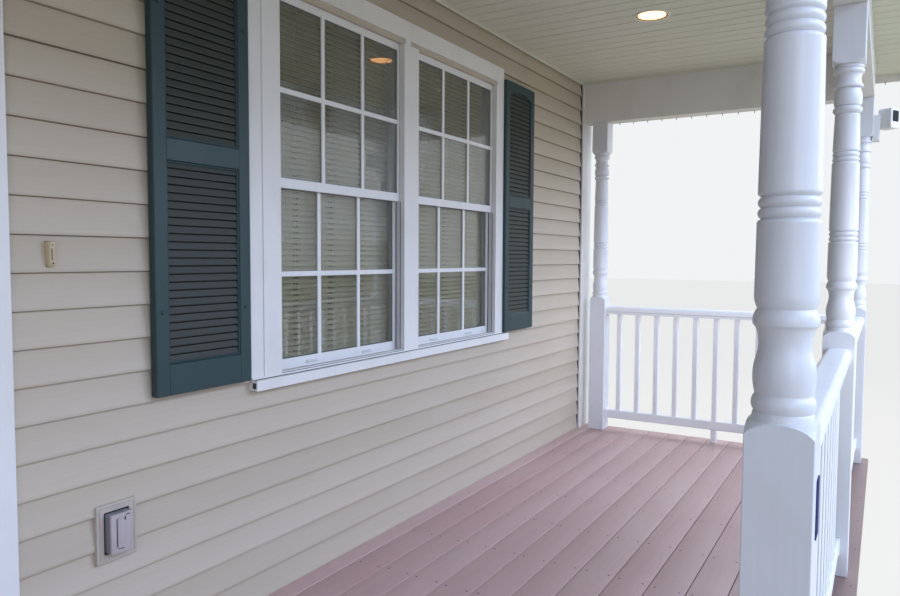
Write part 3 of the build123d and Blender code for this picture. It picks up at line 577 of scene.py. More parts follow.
@dataclass(frozen=True)
class WindowVinyl(Finish):
    """Extruded and welded window PVC: plain white, satin, slightly greyer than the trim."""

    slot: str = "window_vinyl"

    def dress(self, p: Painter) -> None:
        """Almost clean, with a trace of dirt and die lines.

        Args:
            p: Painter of the new material.
        """
        dirt = p.speckle((60, 60, 120), 5)
        die = p.speckle((1.8, 1.8, 300), 2, 3)
        tone = p.coats("#E2E2E1", Coat(dirt, "#B6B1A8", 0.22, (0.5, 0.9)))
        p.surface(Base_Color=tone, Specular_IOR_Level=0.5, Roughness=p.weigh((dirt, 0.15), base=0.25))
        p.emboss(0.2, 0.25, (die, 1.0))


@dataclass(frozen=True)
class FloatGlass(Finish):
    """Float glass: clear with a grey-green body, sharp reflections, a film of dust."""

    slot: str = "window_glass"

    def dress(self, p: Painter) -> None:
        """Slow roller wave and a trace of haze.

        Args:
            p: Painter of the new material.
        """
        wave = p.speckle((260, 260, 180), 1)
        p.surface(Base_Color="#C9D0CB", Roughness=0.015, IOR=1.5, Transmission_Weight=1.0, Alpha=0.72)
        p.emboss(0.25, 0.25, (wave, 1.0))


@dataclass(frozen=True)
class BlindSlat(Finish):
    """Roll-formed aluminium slats, baked cream enamel: satin, thin, dim behind the glass."""

    slot: str = "blind_slats"

    def dress(self, p: Painter) -> None:
        """Slight tone change from slat to slat and dust on the crowns.

        Args:
            p: Painter of the new material.
        """
        lot, _ = p.steps("Z", 1380.0, 22.4)
        dust = p.speckle((80, 12, 12), 4)
        tone = p.coats("#CDC3A9", Coat(lot, "#D8CEB5"), Coat(dust, "#A89E86", 0.35))
        p.surface(Base_Color=tone, Roughness=0.6)
        p.emboss(0.2, 0.3, (dust, 1.0))


@dataclass(frozen=True)
class UnlitRoomShade(Finish):
    """Dark matte sheet behind the slats, painted shade that stands for the unlit room: dark umber, woven,
    shows only dark between them.
    """

    slot: str = "blind_slats"

    def dress(self, p: Painter) -> None:
        """Plain weave with slow folds.

        Args:
            p: Painter of the new material.
        """
        weave = p.speckle((1.6, 1.6, 1.6), 2)
        fold = p.speckle((140, 60, 900), 2, 4)
        tone = p.coats("#37332C", Coat(fold, "#454038"))
        p.surface(Base_Color=tone, Roughness=0.95, Specular_IOR_Level=0.1)
        p.emboss(0.6, 0.4, (weave, 0.4), (fold, 0.6))


@dataclass(frozen=True)
class SawnLumber(Finish):
    """Pressure-treated softwood, band-sawn: grey tan with long grain and saw marks."""

    slot: str = "framing_lumber"

    def dress(self, p: Painter) -> None:
        """Growth rings drawn out along the stick and cross saw marks.

        Args:
            p: Painter of the new material.
        """
        rings = p.speckle((9, 9, 9), 4)
        grain = p.speckle((180, 300, 14), 5, 4)
        tone = p.coats("#A68B62", Coat(grain, "#7F6A4C"), Coat(rings, "#C0A67C", 0.35))
        p.surface(Base_Color=tone, Roughness=0.78)
        p.emboss(0.8, 0.5, (rings, 0.5), (grain, 0.5))


@dataclass(frozen=True)
class CastConcrete(Finish):
    """Concrete cast against boards: pale grey, pitted and clouded."""

    slot: str = "concrete"

    def dress(self, p: Painter) -> None:
        """Sand grain, clouds and blow holes 26 mm apart.

        Args:
            p: Painter of the new material.
        """
        sand = p.speckle((3.5, 3.5, 3.5), 4)
        pits = p.add("ShaderNodeTexVoronoi", {"Vector": p.where, "Scale": 1.0 / (26.0 * MM)})
        cloud = p.speckle((260, 260, 160), 4, 5)
        brim = ((0.06, "#000000"), (0.14, "#FFFFFF"))
        hole = p.add("ShaderNodeValToRGB", {0: pits.outputs["Distance"]}, brim)
        tone = p.coats("#A9A69F", Coat(cloud, "#8C8982"), Coat(sand, "#6F6C66", 0.35))
        p.surface(Base_Color=tone, Roughness=0.9)
        p.emboss(2.0, 0.5, (hole.outputs[0], 0.7), (sand, 0.3))


@dataclass(frozen=True)
class StrandBoard(Finish):
    """Pressed strand board where the wall is cut off: straw-coloured flakes lying every way."""

    slot: str = "wall_sheathing"

    def dress(self, p: Painter) -> None:
        """Flakes of about 45 mm with grain of their own.

        Args:
            p: Painter of the new material.
        """
        place = p.add("ShaderNodeMapping", {"Vector": p.where, "Scale": (22.0, 22.0, 40.0)}).outputs[0]
        flake = p.add("ShaderNodeTexVoronoi", {"Vector": place, "Scale": 1.0})
        fibre = p.speckle((30, 30, 3), 4)
        straw = ((0.15, "#9A7B4F"), (0.5, "#BC9D6C"), (0.85, "#D3B786"))
        tone = p.add("ShaderNodeValToRGB", {0: flake.outputs["Color"]}, straw).outputs[0]
        p.surface(Base_Color=p.coats(tone, Coat(fibre, "#8A6B42", 0.45)), Roughness=0.8)
        p.emboss(1.0, 0.5, (flake.outputs["Distance"], 0.6), (fibre, 0.4))


@dataclass(frozen=True)
class DoorEnamel(Finish):
    """Steel door skin under sprayed satin enamel: the shutters' green, smooth with a slight peel."""

    slot: str = "door_paint"

    def dress(self, p: Painter) -> None:
        """Orange peel and faint handling marks.

        Args:
            p: Painter of the new material.
        """
        peel = p.speckle((2.4, 2.4, 2.4), 2)
        marks = p.speckle((130, 130, 260), 5, 6)
        tone = p.coats("#1F3433", Coat(marks, "#283F3E"))
        rough = p.weigh((marks, 0.2), base=0.28)
        p.surface(Base_Color=tone, Specular_IOR_Level=0.5, Coat_Weight=0.15, Roughness=rough)
        p.emboss(0.15, 0.4, (peel, 1.0))


@dataclass(frozen=True)
class SatinNickel(Finish):
    """Nickel plate, satin brushed: warm grey metal with soft glints."""

    slot: str = "satin_nickel"

    def dress(self, p: Painter) -> None:
        """Brush lines along the lever.

        Args:
            p: Painter of the new material.
        """
        brush = p.speckle((24, 0.8, 0.8), 2)
        tone = p.coats("#B5B0A6", Coat(brush, "#C9C5BC"))
        p.surface(Base_Color=tone, Metallic=1.0, Roughness=p.weigh((brush, 0.12), base=0.27))
        p.emboss(0.05, 0.4, (brush, 1.0))


@dataclass(frozen=True)
class GalvanisedSheet(Finish):
    """Galvanised and painted steel flashing: brown grey, folded, lightly chalked."""

    slot: str = "shingles"

    def dress(self, p: Painter) -> None:
        """Chalk clouds and small dents.

        Args:
            p: Painter of the new material.
        """
        chalk = p.speckle((90, 90, 90), 4)
        p.surface(Base_Color=p.coats("#8B8983", Coat(chalk, "#A19E97")), Metallic=0.6, Roughness=0.42)
        p.emboss(0.6, 0.3, (chalk, 1.0))


@dataclass(frozen=True)
class BlackenedSteelAndShade(Finish):
    """Blackened steel of screws and cup hooks: near black with a dull glint; the same near black also stands
    as painted shade in a slot, holes and gaps of the wall fittings and at the blind cords.
    """

    slot: str = "satin_nickel"

    def dress(self, p: Painter) -> None:
        """Speckled oxide.

        Args:
            p: Painter of the new material.
        """
        oxide = p.speckle((1.5, 1.5, 1.5), 3)
        p.surface(Base_Color=p.coats("#15130F", Coat(oxide, "#2A2621")), Metallic=0.7, Roughness=0.5)
        p.emboss(0.1, 0.4, (oxide, 1.0))


@dataclass(frozen=True)
class PlateEnamel(Finish):
    """Sheet aluminium under baked matte enamel: ink blue, flat, a little dusty."""

    slot: str = "satin_nickel"

    def dress(self, p: Painter) -> None:
        """Rain streaks down the plate.

        Args:
            p: Painter of the new material.
        """
        streak = p.speckle((0.8, 0.8, 24), 2)
        tone = p.coats("#232A56", Coat(streak, "#2F376A"))
        p.surface(Base_Color=tone, Roughness=0.75, Specular_IOR_Level=0.12)
        p.emboss(0.05, 0.3, (streak, 1.0))


@dataclass(frozen=True)
class AgedButtonPlastic(Finish):
    """Moulded ABS of the bell, yellowed by the sun: honey tan, dull."""

    slot: str = "bell_plastic"

    def dress(self, p: Painter) -> None:
        """Uneven yellowing.

        Args:
            p: Painter of the new material.
        """
        age = p.speckle((14, 14, 22), 4)
        tone = p.coats("#B5A07C", Coat(age, "#C8B694"))
        p.surface(Base_Color=tone, Specular_IOR_Level=0.45, Roughness=p.weigh((age, 0.2), base=0.3))
        p.emboss(0.2, 0.3, (age, 1.0))


@dataclass(frozen=True)
class MountBlockVinyl(Finish):
    """Moulded PVC mounting block in the siding's colour: matte, a shade greyer."""

    slot: str = "beige_block"

    def dress(self, p: Painter) -> None:
        """Fine spark-eroded texture and dust on its ledges.

        Args:
            p: Painter of the new material.
        """
        texture = p.speckle((1.4, 1.4, 1.4), 2)
        dust = p.speckle((40, 40, 60), 5, 3)
        p.surface(Base_Color=p.coats("#B0A497", Coat(dust, "#BDB1A4")), Roughness=0.55)
        p.emboss(0.3, 0.35, (texture, 0.5), (dust, 0.5))


@dataclass(frozen=True)
class WeatherCoverPlastic(Finish):
    """Moulded polycarbonate outlet cover, weathered: neutral grey, dull, water-marked."""

    slot: str = "grey_plastic"

    def dress(self, p: Painter) -> None:
        """Water marks that run down and a fine grain.

        Args:
            p: Painter of the new material.
        """
        marks = p.speckle((9, 9, 60), 5)
        fine = p.speckle((1.2, 1.2, 1.2), 2, 4)
        tone = p.coats("#A89C9A", Coat(marks, "#B9AEAC"))
        p.surface(Base_Color=tone, Specular_IOR_Level=0.45, Roughness=p.weigh((marks, 0.25), base=0.3))
        p.emboss(0.15, 0.35, (fine, 1.0))


@dataclass(frozen=True)
class ShadedCoverBasePlastic(Finish):
    """Moulded polycarbonate base of the outlet cover, the lid's plastic made darker as painted shade on its
    sides below the lid: slate grey, grimy, dull.
    """

    slot: str = "grey_plastic"

    def dress(self, p: Painter) -> None:
        """Grime that runs down and a fine grain.

        Args:
            p: Painter of the new material.
        """
        grime = p.speckle((7, 7, 45), 5)
        fine = p.speckle((1.2, 1.2, 1.2), 2, 4)
        # Slate grey well below the lid's tone: painted shade.
        tone = p.coats("#73757B", Coat(grime, "#8B8C92"))
        p.surface(Base_Color=tone, Roughness=0.5, Specular_IOR_Level=0.35)
        p.emboss(0.15, 0.35, (fine, 1.0))


@dataclass(frozen=True)
class LampEnamel(Finish):
    """Pressed steel trim ring in baked enamel: warm white, smooth."""

    slot: str = "light_trim"

    def dress(self, p: Painter) -> None:
        """A trace of heat ageing.

        Args:
            p: Painter of the new material.
        """
        age = p.speckle((30, 30, 30), 3)
        p.surface(Base_Color=p.coats("#E4E1DA", Coat(age, "#D8D3C8")), Roughness=0.35)
        p.emboss(0.1, 0.3, (age, 1.0))


@dataclass(frozen=True)
class BronzedRim(Finish):
    """Heat-browned metal rim between the lens and its ring: a thin dark gold line."""

    slot: str = "light_trim"

    def dress(self, p: Painter) -> None:
        """Uneven heat tint.

        Args:
            p: Painter of the new material.
        """
        tint = p.speckle((14, 14, 14), 3)
        p.surface(Base_Color=p.coats("#4A3A22", Coat(tint, "#6B5530")), Metallic=0.6, Roughness=0.42)
        p.emboss(0.1, 0.3, (tint, 1.0))


@dataclass(frozen=True)
class FrostedLens(Finish):
    """Frosted glass lens with the lamp lit behind it: an even warm white glow."""

    slot: str = "light_lens"

    def dress(self, p: Painter) -> None:
        """Prismatic grain in a warm glow.

        Args:
            p: Painter of the new material.
        """
        prism = p.speckle((3, 3, 3), 2)
        p.surface(Base_Color="#FFF4E0", Roughness=0.4, Emission_Color="#FFB36B", Emission_Strength=4.5)
        p.emboss(0.4, 0.4, (prism, 1.0))


@dataclass(frozen=True)
class CameraHousing(Finish):
    """Moulded ABS housing of the camera: cool white, fine satin texture."""

    slot: str = "camera_white"

    def dress(self, p: Painter) -> None:
        """Fine texture with a little rain dirt.

        Args:
            p: Painter of the new material.
        """
        fine = p.speckle((1.2, 1.2, 1.2), 2)
        dirt = p.speckle((30, 30, 60), 5, 3)
        p.surface(Base_Color=p.coats("#E4E5E6", Coat(dirt, "#BDBBB6", 0.5)), Roughness=0.36)
        p.emboss(0.1, 0.3, (fine, 1.0))


@dataclass(frozen=True)
class SmokedAcrylic(Finish):
    """Smoked acrylic window of the camera, hazed by the weather: almost black, dull."""

    slot: str = "camera_white"

    def dress(self, p: Painter) -> None:
        """Clean with a slight wave.

        Args:
            p: Painter of the new material.
        """
        wave = p.speckle((20, 20, 20), 1)
        tone = p.coats("#050607", Coat(wave, "#0A0B0D"))
        p.surface(Base_Color=tone, Roughness=0.32, Specular_IOR_Level=0.12)
        p.emboss(0.05, 0.2, (wave, 1.0))


@dataclass(frozen=True)
class SashHardware(Finish):
    """Die-cast sash lock and lift, white enamel: small soft glints."""

    slot: str = "window_vinyl"

    def dress(self, p: Painter) -> None:
        """Thin enamel over a cast skin.

        Args:
            p: Painter of the new material.
        """
        cast = p.speckle((1.5, 1.5, 1.5), 2)
        p.surface(Base_Color=p.coats("#C9C9C8", Coat(cast, "#D8D8D8")), Roughness=0.3, Coat_Weight=0.2)
        p.emboss(0.1, 0.3, (cast, 1.0))


@dataclass(frozen=True)
class EpdmGasketAndShade(Finish):
    """Extruded rubber glazing gasket: matte dark grey line round the glass; the same dark grey also stands
    as painted shade in the siding's end gaps and the sill's open joints.
    """

    slot: str = "window_vinyl"

    def dress(self, p: Painter) -> None:
        """Dust on rubber.

        Args:
            p: Painter of the new material.
        """
        dust = p.speckle((12, 12, 12), 3)
        p.surface(Base_Color=p.coats("#3A3A3A", Coat(dust, "#55534F")), Roughness=0.8)
        p.emboss(0.1, 0.3, (dust, 1.0))


@dataclass(frozen=True)
class StageFloor(Finish):
    """Plain pale studio floor."""

    def dress(self, p: Painter) -> None:
        """Flat paint with a trace of grain, which the camera sees paler than it lights the porch.

        Args:
            p: Painter of the new material.
        """
        grain = p.speckle((40, 40, 40), 2)
        tone = p.coats("#CBC0A0", Coat(grain, "#D0C5A6"))
        p.surface(Base_Color=tone, Roughness=0.85, Specular_IOR_Level=0.2)
        path = p.add("ShaderNodeLightPath")
        pale = p.add("ShaderNodeEmission", {"Color": "#F4F5F6", "Strength": 1.0})
        seen = p.weigh((path.outputs["Is Camera Ray"], 0.85))
        mixed = p.add("ShaderNodeMixShader", {0: seen, 1: p.shader.outputs[0], 2: pale.outputs[0]})
        p.feed(p.out.inputs[0], mixed.outputs[0])


class Shaper:
    """Mesh under construction, in millimetres."""

    def __init__(self) -> None:
        """Start an empty mesh."""
        self.mesh = bmesh.new()

    def faces(self, points: Sequence[Sequence[float]], loops: Iterable[Sequence[int]]) -> None:
        """Add points and the faces that join them.

        Args:
            points: Points of the faces.
            loops: For each face, the numbers of its points in order.
        """
        verts = [self.mesh.verts.new(p) for p in points]
        for loop in loops:
            self.mesh.faces.new([verts[i] for i in loop])

    def box(self, low: Point3, high: Point3, chamfer: float = 1.5) -> None:
        """Add a box with all its edges chamfered.

        Args:
            low: Lowest corner.
            high: Highest corner.
            chamfer: Width taken off each edge.
        """
        corners = [(i, j, k) for i in (0, 1) for j in (0, 1) for k in (0, 1)]
        points, index = [], {}
        for corner in corners:
            for axis in range(3):
                point = []
                for n in range(3):
                    inset = 0.0 if n == axis else chamfer
                    point.append(high[n] - inset if corner[n] else low[n] + inset)
                index[corner, axis] = len(points)
                points.append(point)
        loops = []
        for axis in range(3):
            b, c = [n for n in range(3) if n != axis]
            for side in (0, 1):
                square = []
                for bits in ((0, 0), (1, 0), (1, 1), (0, 1)):
                    corner = [0, 0, 0]
                    corner[axis], corner[b], corner[c] = side, bits[0], bits[1]
                    square.append(index[tuple(corner), axis])
                loops.append(square)
            for bits in ((0, 0), (1, 0), (0, 1), (1, 1)):
                near, far = [0, 0, 0], [0, 0, 0]
                near[b] = far[b] = bits[0]
                near[c] = far[c] = bits[1]
                far[axis] = 1
                here, there = tuple(near), tuple(far)
                loops.append([index[here, b], index[there, b], index[there, c], index[here, c]])
        for corner in corners:
            loops.append([index[corner, n] for n in range(3)])
        self.faces(points, loops)

    def prism(self, outline: Sequence[Point2], axis: Axis, start: float, end: float) -> None:
        """Add a closed section drawn out along an axis.

        Args:
            outline: Section as (y, z), (x, z) or (x, y) for axis X, Y or Z.
            axis: Axis that it is drawn out along.
            start: Where it begins.
            end: Where it ends.
        """
        rings = []
        for at in (start, end):
            ring = []
            for u, v in outline:
                point = [u, v]
                point.insert(axis.value, at)
                ring.append(point)
            rings.append(ring)
        self.skin(rings)

    def skin(self, rings: Sequence[Sequence[Sequence[float]]]) -> None:
        """Join rings into a skin that is closed at both ends.

        Args:
            rings: Rings of points, all of one count.
        """
        count = len(rings[0])
        points = [p for ring in rings for p in ring]
        loops = []
        for k in range(len(rings) - 1):
            for i in range(count):
                j = (i + 1) % count
                loops.append([k * count + i, k * count + j, (k + 1) * count + j, (k + 1) * count + i])
        loops.append(list(range(count)))
        loops.append([(len(rings) - 1) * count + i for i in reversed(range(count))])
        self.faces(points, loops)

    def lathe(
        self, profile: Sequence[Point2], centre: Point3, axis: Axis = Axis.Z, segments: int = 40
    ) -> None:
        """Turn a profile round an axis.

        Args:
            profile: Points as (radius, distance along the axis from centre).
            centre: Point that the axis goes through.
            axis: Direction of the axis.
            segments: Sides of the turned shape.
        """
        rings = []
        for radius, along in profile:
            ring = []
            for n in range(segments):
                turn = 2 * math.pi * n / segments
                point = [radius * math.cos(turn), radius * math.sin(turn)]
                point.insert(axis.value, along)
                ring.append([point[m] + centre[m] for m in range(3)])
            rings.append(ring)
        self.skin(rings)

    def pad(self, centre: Point2, size: Point2, y: Point2, radius: float, soft: float = 2.0) -> None:
        """Add a pad with round corners that stands out of the wall.

        Args:
            centre: Middle as (x, z).
            size: Width and height.
            y: Back and front of the pad.
            radius: Corner radius.
            soft: Rounding of the front edge.
        """
        rings = []
        for along, inset in ((y[0], 0.0), (y[1] + soft, 0.0), (y[1] + soft * 0.3, soft * 0.3), (y[1], soft)):
            outline = rounded(size[0] - 2 * inset, size[1] - 2 * inset, max(radius - inset, 0.5))
            rings.append([(centre[0] + u, along, centre[1] + v) for u, v in outline])
        self.skin(rings)

    def boxes(self, spans: Iterable[tuple[float, ...]], y: Point2, chamfer: float) -> None:
        """Add boxes of the same depth, each as (x low, x high, z low, z high)."""
        for x0, x1, z0, z1 in spans:
            self.box((x0, y[0], z0), (x1, y[1], z1), chamfer)

    def stamp(self, mesh: bpy.types.Mesh, offset: Point3) -> None:
        """Add a copy of a finished mesh.

        Args:
            mesh: The mesh, in millimetres.
            offset: How far it is moved.
        """
        start = len(self.mesh.verts)
        self.mesh.from_mesh(mesh)
        self.mesh.verts.ensure_lookup_table()
        for vert in self.mesh.verts[start:]:
            vert.co += Vector(offset)

    def raw(self, name: str) -> bpy.types.Mesh:
        """Make a plain mesh of what was built so far.

        Args:
            name: Name of the mesh.

        Returns:
            The mesh, still in millimetres.
        """
        bmesh.ops.recalc_face_normals(self.mesh, faces=self.mesh.faces)
        mesh = bpy.data.meshes.new(name)
        self.mesh.to_mesh(mesh)
        return mesh

    def piece(
        self, name: str, finish: Finish, replaces: Sequence[str] = (), angle: float = 32.0
    ) -> bpy.types.Object:
        """Finish the mesh as one piece of the porch.

        Args:
            name: Name of the piece.
            finish: Material that it gets.
            replaces: CAD nodes that it stands for.
            angle: Edges sharper than this, in degrees, stay crisp.

        Returns:
            The new object.
        """
        bmesh.ops.recalc_face_normals(self.mesh, faces=self.mesh.faces)
        bmesh.ops.scale(self.mesh, vec=(MM, MM, MM), verts=self.mesh.verts)
        limit = math.radians(angle)
        for face in self.mesh.faces:
            face.smooth = True
        for edge in self.mesh.edges:
            edge.smooth = edge.is_manifold and edge.calc_face_angle(0.0) < limit
        mesh = bpy.data.meshes.new(name)
        self.mesh.to_mesh(mesh)
        self.mesh.free()
        mesh.materials.append(finish.material())
        obj = hang(name, mesh)
        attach(obj, "root")
        if replaces:
            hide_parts(*replaces)
        LOG.info("%s: %d faces", name, len(mesh.polygons))
        return obj


def rounded(width: float, height: float, radius: float, steps: int = 5) -> list[Point2]:
    """Outline of a rectangle with round corners about the origin.

    Args:
        width: Size along the first axis.
        height: Size along the second axis.
        radius: Corner radius.
        steps: Points on each corner less one.

    Returns:
        Points in order round the outline.
    """
    points = []
    for quarter, (su, sv) in enumerate(((1, 1), (-1, 1), (-1, -1), (1, -1))):
        cu, cv = su * (width / 2 - radius), sv * (height / 2 - radius)
        for n in range(steps + 1):
            turn = math.pi / 2 * (quarter + n / steps)
            points.append((cu + radius * math.cos(turn), cv + radius * math.sin(turn)))
    return points


def arc(first: Point2, middle: Point2, last: Point2, steps: int = 8) -> list[Point2]:
    """Points on the circle through three points, from after the first to the last.

    Args:
        first: Start of the arc.
        middle: A point on it.
        last: End of the arc.
        steps: Number of points made.

    Returns:
        The points.
    """
    (ax, ay), (bx, by), (cx, cy) = first, middle, last
    d = 2 * (ax * (by - cy) + bx * (cy - ay) + cx * (ay - by))
    if abs(d) < 1e-9:
        return [last]
    aa, bb, cc = ax * ax + ay * ay, bx * bx + by * by, cx * cx + cy * cy
    ux = (aa * (by - cy) + bb * (cy - ay) + cc * (ay - by)) / d
    uy = (aa * (cx - bx) + bb * (ax - cx) + cc * (bx - ax)) / d
    radius = math.hypot(ax - ux, ay - uy)
    start, mid, end = (math.atan2(q - uy, p - ux) for p, q in (first, middle, last))
    sweep = (end - start) % (2 * math.pi)
    if (mid - start) % (2 * math.pi) > sweep:
        sweep -= 2 * math.pi
    turns = [start + sweep * n / steps for n in range(1, steps + 1)]
    return [(ux + radius * math.cos(t), uy + radius * math.sin(t)) for t in turns]


def dress_nodes(finish: Finish, soft: float, *names: str) -> None:
    """Give CAD nodes their finish and, where asked, slightly rounded edges.

    Args:
        finish: Material for all their slots.
        soft: Width of the rounding in millimetres, or 0.
        *names: The nodes.
    """
    for name in names:
        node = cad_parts[name]
        if not node.material_slots:
            node.data.materials.append(finish.material())
        for slot in node.material_slots:
            slot.material = finish.material()
        if soft:
            bevel = node.modifiers.new("soft_edges", "BEVEL")
            bevel.width = soft * MM
            bevel.segments = 2
            bevel.limit_method = "ANGLE"
            bevel.angle_limit = math.radians(30)
            bevel.harden_normals = False
        LOG.info("%s: dressed", name)


@dataclass
class TurnedPosts:
    """Posts turned from square blanks: square blocks, beads, barrels and a long taper.

    The profile goes up the post, in points as (radius, height) and arcs as (radius, height) of a point on
    the way and of the end.
    """

    blank: float = 114.3
    height: float = 2247.0
    past_corner: float = 86.0
    segments: int = 64
    end_gap: float = 0.4
    eased: float = 1.6
    corner_lift: float = -14.0
    profile: tuple[tuple[float, ...], ...] = (
        *((86, 945), (74, 967, 53, 981), (51.5, 991), (49.5, 994.5), (54.3, 1008.5, 49.8, 1022.5)),
        *((48.6, 1026), (52.8, 1058, 48.8, 1088), (44.2, 1114, 49.5, 1143), (50.6, 1145), (54.6, 1149.5)),
        *((55, 1159, 50, 1174.5), (47.8, 1177.5), (51.4, 1186, 53.5, 1203), (53.4, 1225), (52.6, 1326)),
        *((51.4, 1332, 47.5, 1334.5), (46, 1336), (51.8, 1345.5, 46, 1355), (51.6, 1364.5, 45.8, 1374)),
        *((47.3, 1375.5), (50.8, 1378, 52, 1384), (49.4, 1639), (48.2, 1645, 44.6, 1647.5), (43.2, 1649)),
        *((48.6, 1658.5, 43.2, 1668), (48.3, 1677.5, 43, 1687), (44.4, 1688.5), (47.4, 1691, 48.4, 1697)),
        *((44.3, 1828), (43.4, 1832.5, 41.2, 1834.5), (42, 1836), (52.3, 1850, 43.5, 1864.5), (42.8, 1866)),
        *((48, 1868.5), (50.9, 1893, 43.2, 1932), (41.5, 1934.5), (50.5, 1936.5)),
        *((53.4, 1941, 50.5, 1946.5), (45, 1963, 47.2, 1987), (48.8, 1989.5), (55.6, 1999.5, 50.6, 2008.5)),
        *((49.6, 2010), (53.8, 2015.5, 50.4, 2021), (50.4, 2023), (74, 2034, 86, 2056)),
    )

    def turned(self, lift: float) -> bpy.types.Mesh:
        """Make one post about the origin.

        Args:
            lift: How far its turning sits above the usual place, below it where negative.

        Returns:
            Mesh in millimetres.
        """
        points: list[Point2] = [(self.past_corner, 0.0)]
        for step in self.profile:
            if len(step) == 2:
                points.append((step[0], step[1] + lift))
            else:
                points += arc(points[-1], (step[0], step[1] + lift), (step[2], step[3] + lift))
        points.append((self.past_corner, self.height))
        round_part, square_part = Shaper(), Shaper()
        round_part.lathe(points, (0.0, 0.0, 0.0), segments=self.segments)
        half = self.blank / 2
        square_part.box((-half, -half, self.end_gap), (half, half, self.height - self.end_gap), self.eased)
        turning, blank = hang("turning", round_part.raw("turning")), hang("blank", square_part.raw("blank"))
        cut = turning.modifiers.new("blank", "BOOLEAN")
        cut.operation = "INTERSECT"
        cut.solver = "EXACT"
        cut.object = blank
        bpy.context.view_layer.update()
        shaped = turning.evaluated_get(bpy.context.evaluated_depsgraph_get())
        mesh = bpy.data.meshes.new_from_object(shaped)
        for obj in (turning, blank):
            bpy.data.objects.remove(obj)
        return mesh

    def build(self) -> None:
        """Place the front posts and the two beside the wall."""
        plain, low = self.turned(0.0), self.turned(self.corner_lift)
        front, wall = Shaper(), Shaper()
        for i in range(4):
            x = -AT.end_x + i * AT.bay
            front.stamp(low if i == 3 else plain, (x, AT.post_y, AT.deck))
        for x in (-AT.end_x, AT.end_x):
            wall.stamp(plain, (x, AT.wall_post_y, AT.deck))
        front.piece("turned_posts_front", TurnedPinePaint(), ["posts_front"])
        wall.piece("turned_posts_wall", TurnedPinePaint(), ["posts_wall"])


@dataclass
class PorchRailings:
    """Two front panels and two end panels of rails and pickets."""

    rail_top: float = 914.0
    rail_width: float = 92.0
    cap_height: float = 38.0
    neck_width: float = 72.0
    rail_height: float = 57.0
    low_foot: float = 90.0
    low_height: float = 60.0
    low_width: float = 50.0
    picket: float = 32.0
    pitch: float = 135.0
    foot: float = 35.0
    bracket: float = 14.0
    bracket_proud: float = 4.0
    tenon: float = 3.0

    def section(self) -> list[Point2]:
        """Draw the top rail's section.

        Returns:
            Outline about its middle line, with heights from the deck's top.
        """
        half, neck, top = self.rail_width / 2, self.neck_width / 2, self.rail_top
        shoulder = top - self.cap_height
        right = [(half - 3, shoulder), (half, shoulder + 3), (half - 1, shoulder + 18)]
        right += arc((half - 1, shoulder + 18), (half - 7, top - 6), (half - 22, top), 6)
        right = [(neck, top - self.rail_height), (neck, shoulder - 3), (neck + 3, shoulder)] + right
        return right + [(-u, v) for u, v in reversed(right)]

    def panel(
        self, shaper: Shaper, axis: Axis, start: float, end: float, across: float, pickets: list[float]
    ) -> None:
        """Add one panel.

        Args:
            shaper: Mesh that it goes into.
            axis: X for a front panel, Y for an end panel.
            start: Face of the first post.
            end: Face of the second post.
            across: Place of the panel on the other axis.
            pickets: Middles of the pickets along the panel.
        """
        z = AT.deck
        shaper.prism([(across + u, z + v) for u, v in self.section()], axis, start, end)

        def bar(a: float, b: float, half: float, z0: float, z1: float, chamfer: float) -> None:
            """Add a bar along the panel.

            Args:
                a: Where it begins.
                b: Where it ends.
                half: Half its width.
                z0: Height of its foot above the deck.
                z1: Height of its top above the deck.
                chamfer: Width taken off its edges.
            """
            first, last = (a, across - half), (b, across + half)
            if axis is Axis.Y:
                first, last = first[::-1], last[::-1]
            shaper.box((*first, z + z0), (*last, z + z1), chamfer)

        low, high, half = self.low_foot, self.low_foot + self.low_height, self.low_width / 2
        bar(start, end, half, low, high, 4.0)
        middle = (start + end) / 2
        bar(middle - self.foot / 2, middle + self.foot / 2, self.foot / 2, 0.0, low + 2, 2.0)
        under_rail = self.rail_top - self.rail_height
        for at in pickets:
            a, b = at - self.picket / 2, at + self.picket / 2
            bar(a, b, self.picket / 2, high - self.tenon, under_rail + self.tenon, 3.0)
        proud = self.bracket_proud
        for a, b in ((start, start + self.bracket), (end - self.bracket, end)):
            bar(a, b, half + proud, low - proud, high + proud, 3.0)

    def build(self) -> None:
        """Build the front panels and the end panels."""
        front, ends = Shaper(), Shaper()
        half = (AT.bay - AT.post) / 2
        gaps = round(2 * half / self.pitch)
        for middle in (0.0, AT.bay):
            pickets = [middle - half + n * 2 * half / gaps for n in range(1, gaps)]
            self.panel(front, Axis.X, middle - half, middle + half, AT.post_y, pickets)
        start, end = AT.post_y + AT.post / 2, AT.wall_post_y - AT.post / 2
        count = int((end - start) / self.pitch)
        middle = (start + end) / 2
        pickets = [middle + (n - (count - 1) / 2) * self.pitch for n in range(count)]
        for x in (-AT.end_x, AT.end_x):
            self.panel(ends, Axis.Y, start, end, x, pickets)
        front.piece("railing_panels_front", RailingVinyl(), ["railings_front"])
        ends.piece("railing_panels_ends", RailingVinyl(), ["railings_ends"])


